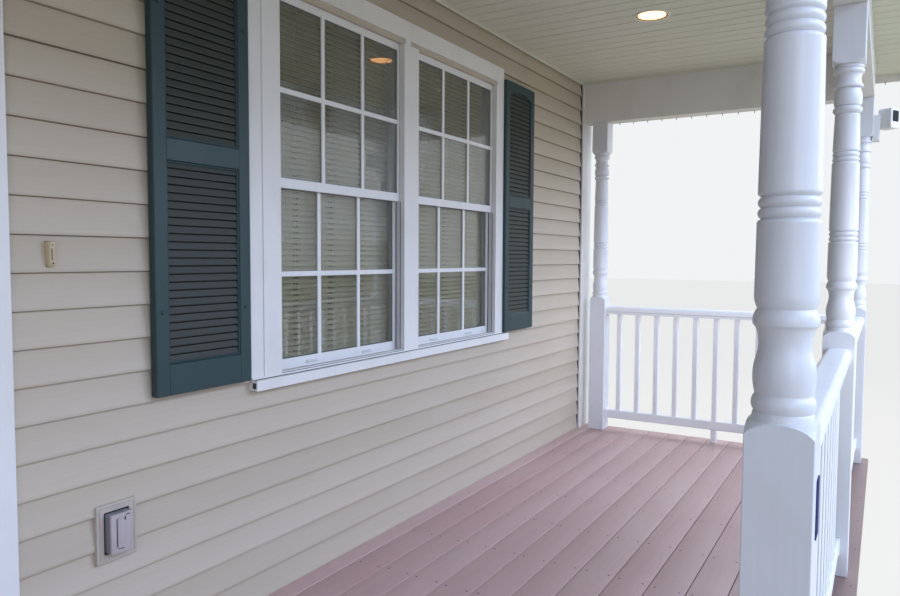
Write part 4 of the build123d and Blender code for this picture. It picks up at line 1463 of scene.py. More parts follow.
@dataclass
class DeckAndSteps:
    """Grooved composite boards with rounded edges on the deck and the treads."""

    board: float = 136.0
    gap: float = 2.8
    thick: float = 25.0
    round_edge: float = 3.2
    joists: int = 15
    joist_half: float = 2854.4
    screw_inset: float = 22.0
    rim_back: float = 25.0
    riser: float = 178.0
    tread_run: float = 280.0
    nosing: float = 25.0
    riser_board: float = 19.0
    step_width: float = 1700.0

    def section(self, y0: float, y1: float, top: float) -> list[Point2]:
        """Draw a board with rounded upper edges.

        Args:
            y0: Its front edge.
            y1: Its rear edge.
            top: Height of its top.

        Returns:
            Outline as (y, z).
        """
        r = self.round_edge
        on_arc = r * 0.29
        outline = [(y0, top - self.thick), (y1, top - self.thick), (y1, top - r)]
        outline += arc((y1, top - r), (y1 - on_arc, top - on_arc), (y1 - r, top), 3)
        outline += [(y0 + r, top)]
        outline += arc((y0 + r, top), (y0 + on_arc, top - on_arc), (y0, top - r), 3)
        return outline

    def rows(self) -> list[float]:
        """Space the deck's boards.

        Returns:
            Their front edges, that of the narrow last board at the wall too.
        """
        rows = [AT.deck_front_y]
        while rows[-1] + self.board < AT.core_y:
            rows.append(rows[-1] + (self.board + self.gap))
        return rows

    def deck(self) -> None:
        """Lay the deck and drive two screws a board into each joist, a little off their marks."""
        boards, screws = Shaper(), Shaper()
        rows = self.rows()
        for y in rows:
            edge = min(y + self.board, AT.core_y)
            boards.prism(self.section(y, edge, AT.deck), Axis.X, -AT.deck_half, AT.deck_half)
        boards.piece("decking", CompositeDecking(), ["deck_boards"])
        head = [(3.9, -1.0), (3.9, 0.25), (2.2, 0.1), (0.3, 0.05)]
        step = 2 * self.joist_half / (self.joists - 1)
        for n in range(self.joists):
            x = n * step - self.joist_half
            for y in rows[:-1]:
                for inset in (self.screw_inset, self.board - self.screw_inset):
                    slip = 5.0 * math.sin(7.0 * x + 3.0 * (y + inset))
                    screws.lathe(head, (x + slip, y + inset, AT.deck), segments=10)
        screws.piece("deck_screws", BlackenedSteelAndShade())

    def treads(self) -> None:
        """Lay two boards on each tread."""
        treads = Shaper()
        rim_y = AT.deck_front_y + self.rim_back
        half = self.step_width / 2 + self.nosing
        for i in range(2):
            step_y = rim_y - self.tread_run * (2 - i)
            front = step_y - self.riser_board - self.nosing
            back = rim_y if i else step_y + self.tread_run - self.riser_board
            middle = (front + back) / 2
            for y0, y1 in ((front, middle - self.gap / 2), (middle + self.gap / 2, back)):
                board = self.section(y0, y1, self.riser * (i + 1))
                treads.prism(board, Axis.X, AT.door_x - half, AT.door_x + half)
        treads.piece("tread_boards", CompositeDecking(), ["step_treads"])

    def build(self) -> None:
        """Lay the deck and the treads, and dress what carries them."""
        self.deck()
        self.treads()
        dress_nodes(WrappedTrim(), 1.5, "rim_front", "rim_ends", "skirt_front", "skirt_ends", "step_risers")
        dress_nodes(SawnLumber(), 1.0, "deck_joists", "deck_girder", "step_stringers")
        dress_nodes(CastConcrete(), 6.0, "piers")


@dataclass
class HouseWall:
    """Foundation, cut wall, lapped siding and corner boards, with dark strips beside them as painted shadow
    in the gap the siding ends in.
    """

    shadow_width: float = 5.0
    shadow_beside_beam: float = 11.0
    shadow_deep: float = 12.0

    def build(self) -> None:
        """Dress the wall's nodes and lay dark strips beside the corner boards, painted shadow in the
        siding's end gap.
        """
        dress_nodes(CastConcrete(), 2.0, "foundation")
        dress_nodes(StrandBoard(), 0.0, "front_wall")
        dress_nodes(LappedVinylSiding(), 0.7, "siding")
        dress_nodes(WrappedTrim(), 2.0, "corner_boards")
        # Dark strips, wider beside the beam: painted shadow where the siding ends at the corner boards.
        shade_marks = Shaper()
        for side in (-1, 1):
            for wide, low, high in (
                (self.shadow_width, AT.deck, AT.beam_foot),
                (self.shadow_beside_beam, AT.beam_foot, AT.ceiling - 4.0),
            ):
                a, b = sorted((side * AT.corner_inner, side * (AT.corner_inner - wide)))
                shade_marks.box((a, AT.wall_y - 1.0, low), (b, AT.wall_y + self.shadow_deep, high), 0.4)
        shade_marks.piece("siding_end_shadow", EpdmGasketAndShade())


@dataclass
class BoardedCeiling:
    """Ribbed boards under the porch and in the eaves, with the recessed light."""

    pitch: float = 104.0
    line_at: float = 1258.0
    joints: int = 66
    joints_before: int = 44
    groove: float = 7.0
    narrow: float = 0.55
    deep: float = 4.5
    flank: float = 2.0
    thick: float = 10.0
    eave_out: float = 335.0
    fascia: float = 25.0
    siding: float = 13.0
    channel: tuple[Point2, ...] = ((0, 0), (0, -12), (3, -12), (4, -3.5), (16, -2.5), (16, 0))
    light_x: float = 1512.0
    light_out: float = 848.0
    ring: tuple[Point2, ...] = (
        *((95, 0), (94.5, -2.5), (91, -5), (84, -5.6)),
        *((80, -4.6), (78.6, -3.6), (78.6, 8), (95, 8)),
    )
    rim: tuple[Point2, ...] = ((78.6, 6), (78.6, -2.6), (75.6, -1.2), (75.6, 6))
    lens: tuple[Point2, ...] = ((75.6, 3), (74.5, 0.5), (60, -1.6), (40, -3), (18, -3.8), (2, -4))

    def ribbed(self, lines: Sequence[float], low: float, high: float, z: float) -> list[Point2]:
        """Section of a run of boards with a groove at each line, every other one narrower.

        Args:
            lines: Places of the joints.
            low: First edge of the run.
            high: Last edge of the run.
            z: Height of the underside.

        Returns:
            Closed outline of (place, height).
        """
        outline = [(low, z + self.thick), (low, z)]
        for n, at in enumerate(lines):
            if low + self.groove < at < high - self.groove:
                wide = self.groove * (1.0 if n % 2 else self.narrow)
                a, b = at - wide / 2, at + wide / 2
                outline += [(a - self.flank, z), (a, z + self.deep), (b, z + self.deep), (b + self.flank, z)]
        outline += [(high, z), (high, z + self.thick)]
        return outline

    def boards(self) -> None:
        """Lay the boards of the ceiling and of the eaves at the front and both ends."""
        lines = [self.line_at + (n - self.joints_before) * self.pitch for n in range(self.joints)]
        rows = [AT.beam_face_y + n * self.pitch for n in range(1, self.joints)]
        half, inner, outer = AT.end_x - AT.post / 2, AT.end_x + AT.post / 2, AT.end_x + self.eave_out
        ceiling, eaves = Shaper(), Shaper()
        across = self.ribbed(lines, -half, half, AT.ceiling)
        ceiling.prism(across, Axis.Y, AT.post_y + AT.post / 2, AT.wall_y)
        ceiling.piece("ceiling_boards", SoffitBoards(), ["ceiling"])
        front = self.ribbed(lines, -outer, outer, AT.soffit)
        eaves.prism(front, Axis.Y, AT.eave_y + self.fascia, AT.beam_face_y)
        end = self.ribbed(rows, AT.beam_face_y, AT.wall_y - self.siding, AT.soffit)
        for a, b in ((-outer, -inner), (inner, outer)):
            eaves.prism(end, Axis.X, a, b)
        eaves.piece("eave_boards", SoffitBoards(), ["soffit"])

    def channels(self) -> None:
        """Run a channel round the ceiling's four edges."""
        channels = Shaper()
        half, y0 = AT.end_x - AT.post / 2, AT.post_y + AT.post / 2
        for start, end, along, at, inward in (
            (-half, half, Axis.X, y0, 1.0),
            (-half, half, Axis.X, AT.wall_y, -1.0),
            (y0, AT.wall_y, Axis.Y, -half, 1.0),
            (y0, AT.wall_y, Axis.Y, half, -1.0),
        ):
            strip = [(at + inward * u, AT.ceiling + v) for u, v in self.channel]
            channels.prism(strip, along, start, end)
        channels.piece("ceiling_channels", SoffitBoards())

    def light(self) -> None:
        """Turn the trim ring, its rim and the lens of the recessed light."""
        centre = (self.light_x, AT.wall_y - self.light_out, AT.ceiling)
        for name, profile, finish, nodes in (
            ("light_ring", self.ring, LampEnamel(), ["light_trim"]),
            ("light_rim", self.rim, BronzedRim(), []),
            ("light_glass", self.lens, FrostedLens(), ["light_lens"]),
        ):
            turned = Shaper()
            turned.lathe(profile, centre, segments=72)
            turned.piece(name, finish, nodes)

    def build(self) -> None:
        """Build the ceiling, the soffit and the light, and finish the beams."""
        self.boards()
        dress_nodes(WrappedTrim(), 2.0, "beam_front", "beam_ends")
        self.channels()
        self.light()


@dataclass
class TwinWindow:
    """Double-hung twin window with casing, sill, sash hardware, gaskets and blinds."""

    clear: float = 804.5
    mullion: float = 119.0
    foot: float = 829.0
    height: float = 1415.0
    meeting: float = 1524.0
    blind_deep: float = 91.5
    head_rail: float = 34.0
    foot_rail: float = 16.0
    slat_pitch: float = 22.4
    lean: float = 66.0
    crown: tuple[Point2, ...] = (
        *((-12.5, 0), (-6.5, 1.3), (0, 1.8), (6.5, 1.3)),
        *((12.5, 0), (6.5, 0.8), (0, 1.3), (-6.5, 0.8)),
    )
    cords: tuple[float, ...] = (-225.0, -15.0, 190.0)
    panes: tuple[Point3, ...] = ((23.0, 1561.0, 2214.0), (48.0, 870.0, 1526.0))
    pane_lap: float = 16.5
    gasket: float = 2.5
    bead: float = 7.0

    def units(self) -> list[float]:
        """Middles of the two windows."""
        shift = (self.clear + self.mullion) / 2
        return [AT.window_x - shift, AT.window_x + shift]

    def build(self) -> None:
        """Dress the nodes and add what the CAD leaves out."""
        dress_nodes(WindowVinyl(), 1.0, "window_frames")
        dress_nodes(WrappedTrim(), 2.0, "window_casing", "window_sill")
        dress_nodes(WindowVinyl(), 1.2, "sashes_upper", "sashes_lower")
        dress_nodes(FloatGlass(), 0.0, "window_glass")
        self.blinds()
        self.sill_tracks()
        self.hardware()

    def blinds(self) -> None:
        """Hang a head rail, slats, a bottom rail and ladder tapes in each window, with a dark sheet behind
        as painted shade for the unlit room.
        """
        slats, shade_marks, room_shade = Shaper(), Shaper(), Shaper()
        y, half = AT.wall_y + self.blind_deep, self.clear / 2 + 4
        z0, z1 = AT.deck + self.foot, AT.deck + self.foot + self.height + 10
        stack = z1 - self.head_rail - z0 - self.foot_rail
        count = round(stack / self.slat_pitch)
        pitch = stack / count
        level, rise = math.cos(math.radians(self.lean)), math.sin(math.radians(self.lean))
        for x in self.units():
            slats.box((x - half, y - 13, z1 - self.head_rail), (x + half, y + 13, z1), 1.0)
            # Dark sheet behind the slats: painted shade for the unlit room.
            room_shade.box((x - half, y + 14, z0), (x + half, y + 15.5, z1), 0.5)
            slats.box((x - half, y - 10, z0), (x + half, y + 10, z0 + self.foot_rail), 2.0)
            places = [x + cord for cord in self.cords]
            for n in range(count):
                z = z0 + self.foot_rail + (n + 0.5) * pitch
                turned = [(y + u * level - v * rise, z + u * rise + v * level) for u, v in self.crown]
                slats.prism(turned, Axis.X, x - half, x + half)
                # Dark dashes on each slat at the cords: painted shade.
                spans = [(at - 12, at + 12, z + 4.0, z + 11.0) for at in places]
                shade_marks.boxes(spans, (y - 6.5, y - 3.2), 0.5)
            tapes = [(at - 1.0, at + 1.0, z0 + 10, z1 - 30) for at in places]
            slats.boxes(tapes, (y - 7.4, y - 6.4), 0.3)
        slats.piece("blind_slat_stack", BlindSlat(), ["window_blinds"])
        shade_marks.piece("blind_cord_shade", BlackenedSteelAndShade())
        room_shade.piece("unlit_room_backing", UnlitRoomShade())

    def sill_tracks(self) -> None:
        """Lay the screen tracks, dark strips of painted shade in the open joints and the beige strip along
        the foot of the window.
        """
        tracks, joints, strips = Shaper(), Shaper(), Shaper()
        low, high = (Vector(corner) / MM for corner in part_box("window_sill"))
        y, z = AT.wall_y, AT.deck + self.foot
        # Dark strips of painted shade in the open joints. The joint below the sill's nose stops short of its
        # far end, the other one is at its near end.
        joints.box((low.x + 1.0, y - 14.7, z - 9.0), (high.x - 55.0, y - 13.5, z - 6.2), 0.3)
        joints.box((low.x + 4.4, y - 26.0, z - 38.0), (low.x + 5.6, y - 8.0, z - 17.0), 0.3)
        for x in self.units():
            a, b = x - self.clear / 2 + 1.0, x + self.clear / 2 - 1.0
            # Painted shade in the joint at the foot of each sash.
            joints.box((a, y - 12.0, z - 0.5), (b, y + 9.0, z + 0.5), 0.3)
            tracks.box((a, y - 4.5, z), (b, y + 2.5, z + 4.5), 0.6)
            strips.box((a, y + 9.0, z - 0.5), (b, y + 32.0, z + 2.5), 0.5)
        tracks.piece("screen_tracks", WindowVinyl())
        joints.piece("sill_joint_shade", EpdmGasketAndShade())
        strips.piece("sill_strip", MountBlockVinyl())

    def glazing(self, gaskets: Shaper, beads: Shaper, x: float) -> None:
        """Line both panes of one window.

        Args:
            gaskets: Mesh of the dark lines.
            beads: Mesh of the beads round them.
            x: Middle of the window.
        """
        half = self.clear / 2 - self.pane_lap
        left, right, line, bead = x - half, x + half, self.gasket, self.bead
        for y, foot, head in self.panes:
            z0, z1, front = AT.deck + foot, AT.deck + head, AT.wall_y + y - 1.2
            lines = (
                (left, left + line, z0, z1),
                (right - line, right, z0, z1),
                (left, right, z0, z0 + line),
                (left, right, z1 - line, z1),
            )
            gaskets.boxes(lines, (front, front + 1.6), 0.4)
            sticks = (
                (left - bead, left, z0 - bead, z1 + bead),
                (right, right + bead, z0 - bead, z1 + bead),
                (left, right, z0 - bead, z0),
                (left, right, z1, z1 + bead),
            )
            beads.boxes(sticks, (front - 2.6, front + 2.0), 1.2)

    def hardware(self) -> None:
        """Add sash locks and lifts, gasket lines in the jambs and the glazing."""
        locks, gaskets, beads = Shaper(), Shaper(), Shaper()
        wall, foot, meeting = AT.wall_y, AT.deck + self.foot, AT.deck + self.meeting
        for x in self.units():
            for side in (-1, 1):
                a, b = sorted((x + side * (self.clear / 2 - 1.0), x + side * (self.clear / 2 + 0.5)))
                for y0, y1 in ((9.0, 12.5), (33.0, 37.5)):
                    gaskets.box((a, wall + y0, foot + 4), (b, wall + y1, meeting - 4), 0.4)
            for z, tall, apart, half, y0, y1, chamfer in (
                (meeting + 37.0, 9.0, 200, 26, 46, 64, 3.0),
                (foot + 12.0, 10.0, 180, 32, 36, 42, 2.0),
            ):
                spans = [(x + at - half, x + at + half, z, z + tall) for at in (-apart, apart)]
                locks.boxes(spans, (wall + y0, wall + y1), chamfer)
            self.glazing(gaskets, beads, x)
        locks.piece("sash_locks", SashHardware())
        gaskets.piece("glass_gaskets", EpdmGasketAndShade())
        beads.piece("glazing_beads", WindowVinyl())


@dataclass
class LouvredShutters:
    """Two moulded shutters: frame, arched upper field and fine louvres."""

    width: float = 388.0
    height: float = 1467.0
    foot: float = 827.0
    thick: float = 30.0
    stile: float = 48.0
    low_rail: float = 99.0
    mid_up: float = 734.0
    mid_rail: float = 70.0
    top_rail: float = 76.0
    rise: float = 29.0
    louvre: float = 25.4
    blade: tuple[Point2, ...] = ((8.0, 0.4), (8.0, 3.8), (20.6, 3.9), (22.0, 4.6), (22.4, 6.2), (22.2, 8.5))
    blade_foot: float = 19.0
    ground: float = 6.0
    lip: float = 6.0
    set_back: float = 4.0
    screw_in: float = 263.0
    screw: tuple[Point2, ...] = ((7.0, 1.0), (7.0, -1.0), (5.5, -2.6), (2.5, -3.4), (0.3, -3.5))
    middles: tuple[float, float] = (-717.25, 1659.25)

    def louvres(self, z0: float, z1: float) -> list[Point2]:
        """Draw the section of a field of louvres.

        Args:
            z0: Foot of the field.
            z1: Head of the field.

        Returns:
            Outline as (y, z).
        """
        count = round((z1 - z0) / self.louvre)
        step = (z1 - z0) / count
        outline = [(AT.wall_y - self.ground, z0)]
        for k in range(count):
            z = z0 + k * step
            outline += [(AT.wall_y - out, z + up) for out, up in (*self.blade, (self.blade_foot, step))]
        outline.append((AT.wall_y - self.ground, z1))
        return outline

    def frame_of(self, shell: Shaper, x: float) -> None:
        """Mould the frame of the shutter whose middle is at x, with a lip round both fields.

        Args:
            shell: Mesh that it goes into.
            x: Middle of the shutter.
        """
        front, back = AT.wall_y - self.thick, AT.wall_y
        z, inner = AT.deck + self.foot, self.width / 2 - self.stile
        top, low, mid = z + self.height, z + self.low_rail, z + self.mid_up
        high, arch_foot = mid + self.mid_rail, top - self.top_rail
        depth = (front + self.set_back, back - self.set_back)
        for side in (-1, 1):
            a, b = sorted((x + side * self.width / 2, x + side * inner))
            shell.box((a, front, z), (b, back, top), 2.6)
            c, d = sorted((x + side * (inner - self.lip), x + side * inner))
            shell.boxes([(c, d, low - 3, arch_foot + self.lip)], depth, 2.0)
        rails = [(x - inner - 2, x + inner + 2, z, low), (x - inner - 2, x + inner + 2, mid, high)]
        shell.boxes(rails, (front + 0.4, back), 2.6)
        for foot in (low, mid - self.lip, high):
            shell.boxes([(x - inner, x + inner, foot, foot + self.lip)], depth, 2.0)
        for inset, lift in ((0.0, 0.0), (self.set_back, self.lip)):
            crown = arch_foot + self.rise + 4 if inset else top
            head = [(x + inner + 2, crown), (x - inner - 2, crown), (x - inner - 2, arch_foot - lift)]
            head += arc(head[-1], (x, arch_foot + self.rise - lift), (x + inner + 2, arch_foot - lift), 20)
            shell.prism(head, Axis.Y, front + 0.4 + inset, back - 3)

    def build(self) -> None:
        """Mould both shutters and screw them on."""
        shell, louvres, screws = Shaper(), Shaper(), Shaper()
        z, inner = AT.deck + self.foot, self.width / 2 - self.stile
        mid, arch_top = z + self.mid_up, z + self.height - self.top_rail + self.rise
        for x in self.middles:
            self.frame_of(shell, x)
            for low, high in ((z + self.low_rail, mid), (mid + self.mid_rail, arch_top)):
                louvres.prism(self.louvres(low, high), Axis.X, x - inner, x + inner)
            for up in (self.screw_in, self.height - self.screw_in):
                for side in (-1, 1):
                    at = (x + side * (self.width / 2 - self.stile / 2), AT.wall_y - self.thick, z + up)
                    screws.lathe(self.screw, at, Axis.Y, 20)
        shell.piece("shutter_panels", ShutterPolymer(), ["shutters"])
        louvres.piece("shutter_louvres", WeatheredSheenLouvre())
        screws.piece("shutter_screws", ShutterPolymer())


@dataclass
class EntryDoor:
    """Panelled door with its frame, hinges and lever."""

    width: float = 914.0
    threshold: float = 32.0
    inset: float = 30.0
    handle_in: float = 60.0
    handle_up: float = 930.0
    lever_out: float = 47.0
    lever_long: float = 124.0
    lock_up: float = 150.0
    hinges_up: Point3 = (180.0, 1016.0, 1850.0)
    spindle: tuple[Point2, ...] = (
        *((31, 0), (31, -4), (28.5, -6.5), (12, -8)),
        *((9.5, -14), (9, -50), (7, -54), (1, -55)),
    )
    lock: tuple[Point2, ...] = ((27, 0), (27, -5), (24, -8), (9, -9), (8.5, -14), (1, -15))
    knuckle: tuple[Point2, ...] = ((5.5, -51), (6, -49), (6, 49), (5.5, 51))

    def grip(self, x: float, y: float, z: float) -> list[list[Point3]]:
        """Rings of the lever, with both ends drawn in.

        Args:
            x: Place of the spindle along the wall.
            y: Middle of the lever's depth.
            z: Height of the spindle.

        Returns:
            The rings, from the spindle's end on.
        """
        section, last = rounded(2.0, 2.0, 0.9, 4), 12
        rings = []
        for n in range(last + 1):
            t = n / last
            along, tall = x + 8.0 - t * self.lever_long, 9.0 - 3.0 * math.sin(math.pi * t * 0.5)
            deep, lift = 5.5 if 0 < n < last else 2.5, 2.0 * math.sin(math.pi * t)
            rings.append([(along, y + deep * u, z + lift + tall * v) for u, v in section])
        return rings

    def build(self) -> None:
        """Dress the door's nodes, turn the lever and the lock, and pin the hinges."""
        dress_nodes(WrappedTrim(), 1.2, "door_frame")
        dress_nodes(WrappedTrim(), 2.0, "door_casing")
        dress_nodes(DoorEnamel(), 1.6, "door_leaf")
        lever, hinges = Shaper(), Shaper()
        x, y = AT.door_x + self.width / 2 - self.handle_in, AT.wall_y + self.inset
        foot = AT.deck + self.threshold
        z = foot + self.handle_up
        lever.lathe(self.spindle, (x, y, z), Axis.Y, 40)
        lever.skin(self.grip(x, y - self.lever_out, z))
        lever.lathe(self.lock, (x, y, z + self.lock_up), Axis.Y, 36)
        lever.piece("lever_set", SatinNickel(), ["door_handle"])
        for up in self.hinges_up:
            at = (AT.door_x - self.width / 2 - 1.5, y - 3.0, foot + up)
            hinges.lathe(self.knuckle, at, Axis.Z, 16)
        hinges.piece("door_hinges", SatinNickel())


@dataclass
class WallFittings:
    """Bell button and the covered outlet in its mounting block."""

    bell_x: float = -1219.0
    bell_up: float = 1269.0
    bell: Point2 = (20.0, 70.0)
    bell_out: float = 16.0
    outlet_x: float = -1042.0
    outlet_up: float = 451.0
    block: Point2 = (130.0, 172.0)
    block_out: float = 8.0
    pocket_gap: float = 4.5
    pocket_deep: float = 10.0
    cover: Point2 = (74.0, 116.0)
    cover_out: float = 40.0
    boss: tuple[Point2, ...] = ((6.2, 2.2), (6.2, 1), (5.2, 0.4), (2.6, 0.3))
    # Middle from the grip, middle up, width, height, set back, corner radius, rounding.
    latch: tuple[tuple[float, ...], ...] = (
        (0.0, 3.0, 9.0, 92.0, 0.0, 4.0, 2.2),
        (9.5, 46.5, 20.0, 6.5, 0.6, 3.0, 2.0),
        (8.5, -41.0, 20.0, 6.5, 0.6, 3.0, 2.0),
    )
    # Dark lines of painted shade beside the latch ridge and pads. Middle from the grip, middle up, width,
    # height.
    latch_shade_lines: tuple[tuple[float, ...], ...] = (
        (-5.4, 3.0, 1.8, 84.0),
        (5.4, 3.0, 1.8, 78.0),
        (21.5, 42.0, 4.0, 13.0),
        (31.0, 51.0, 13.0, 2.6),
        (9.0, -46.0, 19.0, 1.8),
    )

    def frame_rings(self, x: float, z: float) -> list[list[Point3]]:
        """Draw the mounting block from its back round the front and down into the pocket.

        Args:
            x: Its middle along the wall.
            z: Its middle height.

        Returns:
            Rings of points.
        """
        (w, h), y = self.block, AT.wall_y
        a, b = (size + 2 * self.pocket_gap for size in self.cover)
        face = y - self.block_out
        steps = (
            (w, h, y + 14.0),
            (w, h, face + 2.0),
            (w - 1.2, h - 1.2, face + 0.5),
            (w - 3.0, h - 3.0, face),
            (w - 14.0, h - 14.0, face),
            (w - 15.5, h - 15.5, face + 1.8),
            (w - 18.5, h - 18.5, face + 1.8),
            (w - 20.0, h - 20.0, face),
            (a + 2.0, b + 2.0, face),
            (a, b, face + 1.2),
            (a, b, face + self.pocket_deep),
        )
        return [[(x + u, along, z + v) for u, v in rounded(wide, tall, 3.5)] for wide, tall, along in steps]

    def button(self, shade_marks: Shaper) -> None:
        """Mould the bell: a body, a raised face with two screw bosses and the bar that is pushed.

        Args:
            shade_marks: Mesh of the dark marks, painted shade in the slot and holes.
        """
        x, y, z = self.bell_x, AT.wall_y, AT.deck + self.bell_up
        (w, h), front = self.bell, AT.wall_y - self.bell_out
        bell = Shaper()
        bell.pad((x, z), (w, h), (y + 12, front + 5.0), 7.0, 2.5)
        bell.pad((x, z + 1.0), (w - 3.0, h - 5.0), (front + 6.0, front + 1.6), 6.5, 2.0)
        for side in (-1, 1):
            bell.lathe(self.boss, (x, front, z + side * 25.0), Axis.Y, 28)
        bell.pad((x + 1.8, z), (5.2, 31.0), (front + 2.2, front), 2.2, 1.0)
        bell.piece("bell_button", AgedButtonPlastic(), ["doorbell"])
        # Painted shade: a dark slit beside the bar and dark discs in the two screw holes.
        shade_marks.pad((x - 2.4, z - 1.0), (1.9, 31.0), (front + 2.2, front + 1.2), 0.8, 0.3)
        for radius, up in ((1.7, 25.0), (2.5, -25.0)):
            shade_marks.lathe([(radius, 0.6), (radius, 0.1), (0.4, 0.05)], (x, front, z + up), Axis.Y, 20)

    def outlet(self, shade_marks: Shaper) -> None:
        """Mould the block, the cover's body and its lid with the latch.

        Args:
            shade_marks: Mesh of the dark marks, painted shade in the gaps and lines.
        """
        block, cover, base = Shaper(), Shaper(), Shaper()
        x, y, z = self.outlet_x, AT.wall_y, AT.deck + self.outlet_up
        w, h = self.cover
        floor, front = y - self.block_out + self.pocket_deep, y - self.cover_out
        block.skin(self.frame_rings(x, z))
        block.piece("mount_block", MountBlockVinyl(), ["outlet_block"])
        # Painted shade: a dark ring on the pocket floor round the cover, and a dark pad whose edge shows
        # between the base and the lid.
        shade_marks.pad((x, z), (w + 8.0, h + 8.0), (floor, floor - 4.0), 3.0, 0.4)
        shade_marks.pad((x, z), (w - 3.5, h - 3.5), (floor, front + 9.0), 2.0, 0.4)
        base.pad((x, z), (w - 1.5, h - 1.5), (floor - 1.0, front + 13.0), 2.5, 0.8)
        cover.pad((x, z), (w, h), (front + 11.5, front + 4.5), 2.5, 1.0)
        grip = x - 13.5
        for at, up, wide, tall, back, radius, soft in self.latch:
            cover.pad((grip + at, z + up), (wide, tall), (front + 6.0, front + back), radius, soft)
        for at, up, wide, tall in self.latch_shade_lines:
            shade_marks.pad((grip + at, z + up), (wide, tall), (front + 6.0, front + 3.9), 0.8, 0.2)
        base.piece("weather_cover_base", ShadedCoverBasePlastic(), ["outlet_cover"])
        cover.piece("weather_cover", WeatherCoverPlastic(), ["outlet_cover"])

    def build(self) -> None:
        """Make both fittings and the dark marks in them, painted shade in a slot, holes and gaps."""
        shade_marks = Shaper()
        self.button(shade_marks)
        self.outlet(shade_marks)
        shade_marks.piece("slot_and_hole_shade", BlackenedSteelAndShade())


@dataclass
class PostCamera:
    """Small camera on the street face of the corner post, with its head turned."""

    base_top: float = 107.0
    base: Point2 = (60.0, 158.0)
    base_out: float = 36.0
    head_top: float = 72.0
    head_out: float = 80.0
    head: Point3 = (88.0, 78.0, 122.0)
    window: Point2 = (62.0, 66.0)
    neck: tuple[Point2, ...] = ((13, -30), (15, -40), (13, -60))
    turn: float = 29.0

    def build(self) -> None:
        """Mould the base, the neck and the turned head with its dark window."""
        body, window = Shaper(), Shaper()
        face, top = AT.beam_face_y, AT.beam_foot - self.base_top
        body.pad((AT.end_x, top - self.base[1] / 2), self.base, (face, face - self.base_out), 8.0, 4.0)
        wide, deep, tall = self.head
        centre = Vector((AT.end_x, face - self.head_out, AT.beam_foot - self.head_top - tall / 2))
        spin = Matrix.Rotation(math.radians(-self.turn), 3, "Z")

        def turned(shaper: Shaper, size: Point2, y: Point2, up: float, edge: Point2) -> None:
            """Add a pad in the head's own axes.

            Args:
                shaper: Mesh that it goes into.
                size: Width and height.
                y: Its back and its front.
                up: How far its middle is above the head's.
                edge: Corner radius and rounding of the edges.
            """
            radius, soft = edge
            rings = []
            for along, inset in ((y[0] - soft, soft), (y[0], 0.0), (y[1] + soft, 0.0), (y[1], soft)):
                outline = rounded(size[0] - 2 * inset, size[1] - 2 * inset, max(radius - inset, 1.0))
                rings.append([centre + spin @ Vector((u, along, v + up)) for u, v in outline])
            shaper.skin(rings)

        turned(body, (wide, tall), (deep / 2, -deep / 2), 0.0, (16.0, 5.0))
        turned(window, self.window, (2 - deep / 2, -1.5 - deep / 2), 12.0, (6.0, 1.0))
        body.lathe(self.neck, (AT.end_x, face, centre.z - 8), Axis.Y, 24)
        body.piece("camera_body", CameraHousing(), ["post_camera"])
        window.piece("camera_window", SmokedAcrylic())


@dataclass
class PostPlate:
    """Small bare plate screwed to the street face of the nearest post, below the hand rail."""

    low: Point2 = (-945.0, 1304.0)
    high: Point2 = (-897.0, 1411.0)
    thick: float = 2.0

    def build(self) -> None:
        """Stamp the plate out of sheet, with round corners."""
        face = AT.post_y - AT.post / 2
        (x0, z0), (x1, z1) = self.low, self.high
        plate, middle = Shaper(), ((x0 + x1) / 2, (z0 + z1) / 2)
        plate.pad(middle, (x1 - x0, z1 - z0), (face + 1.0, face - self.thick), 4.0, 0.5)
        plate.piece("post_plate", PlateEnamel())


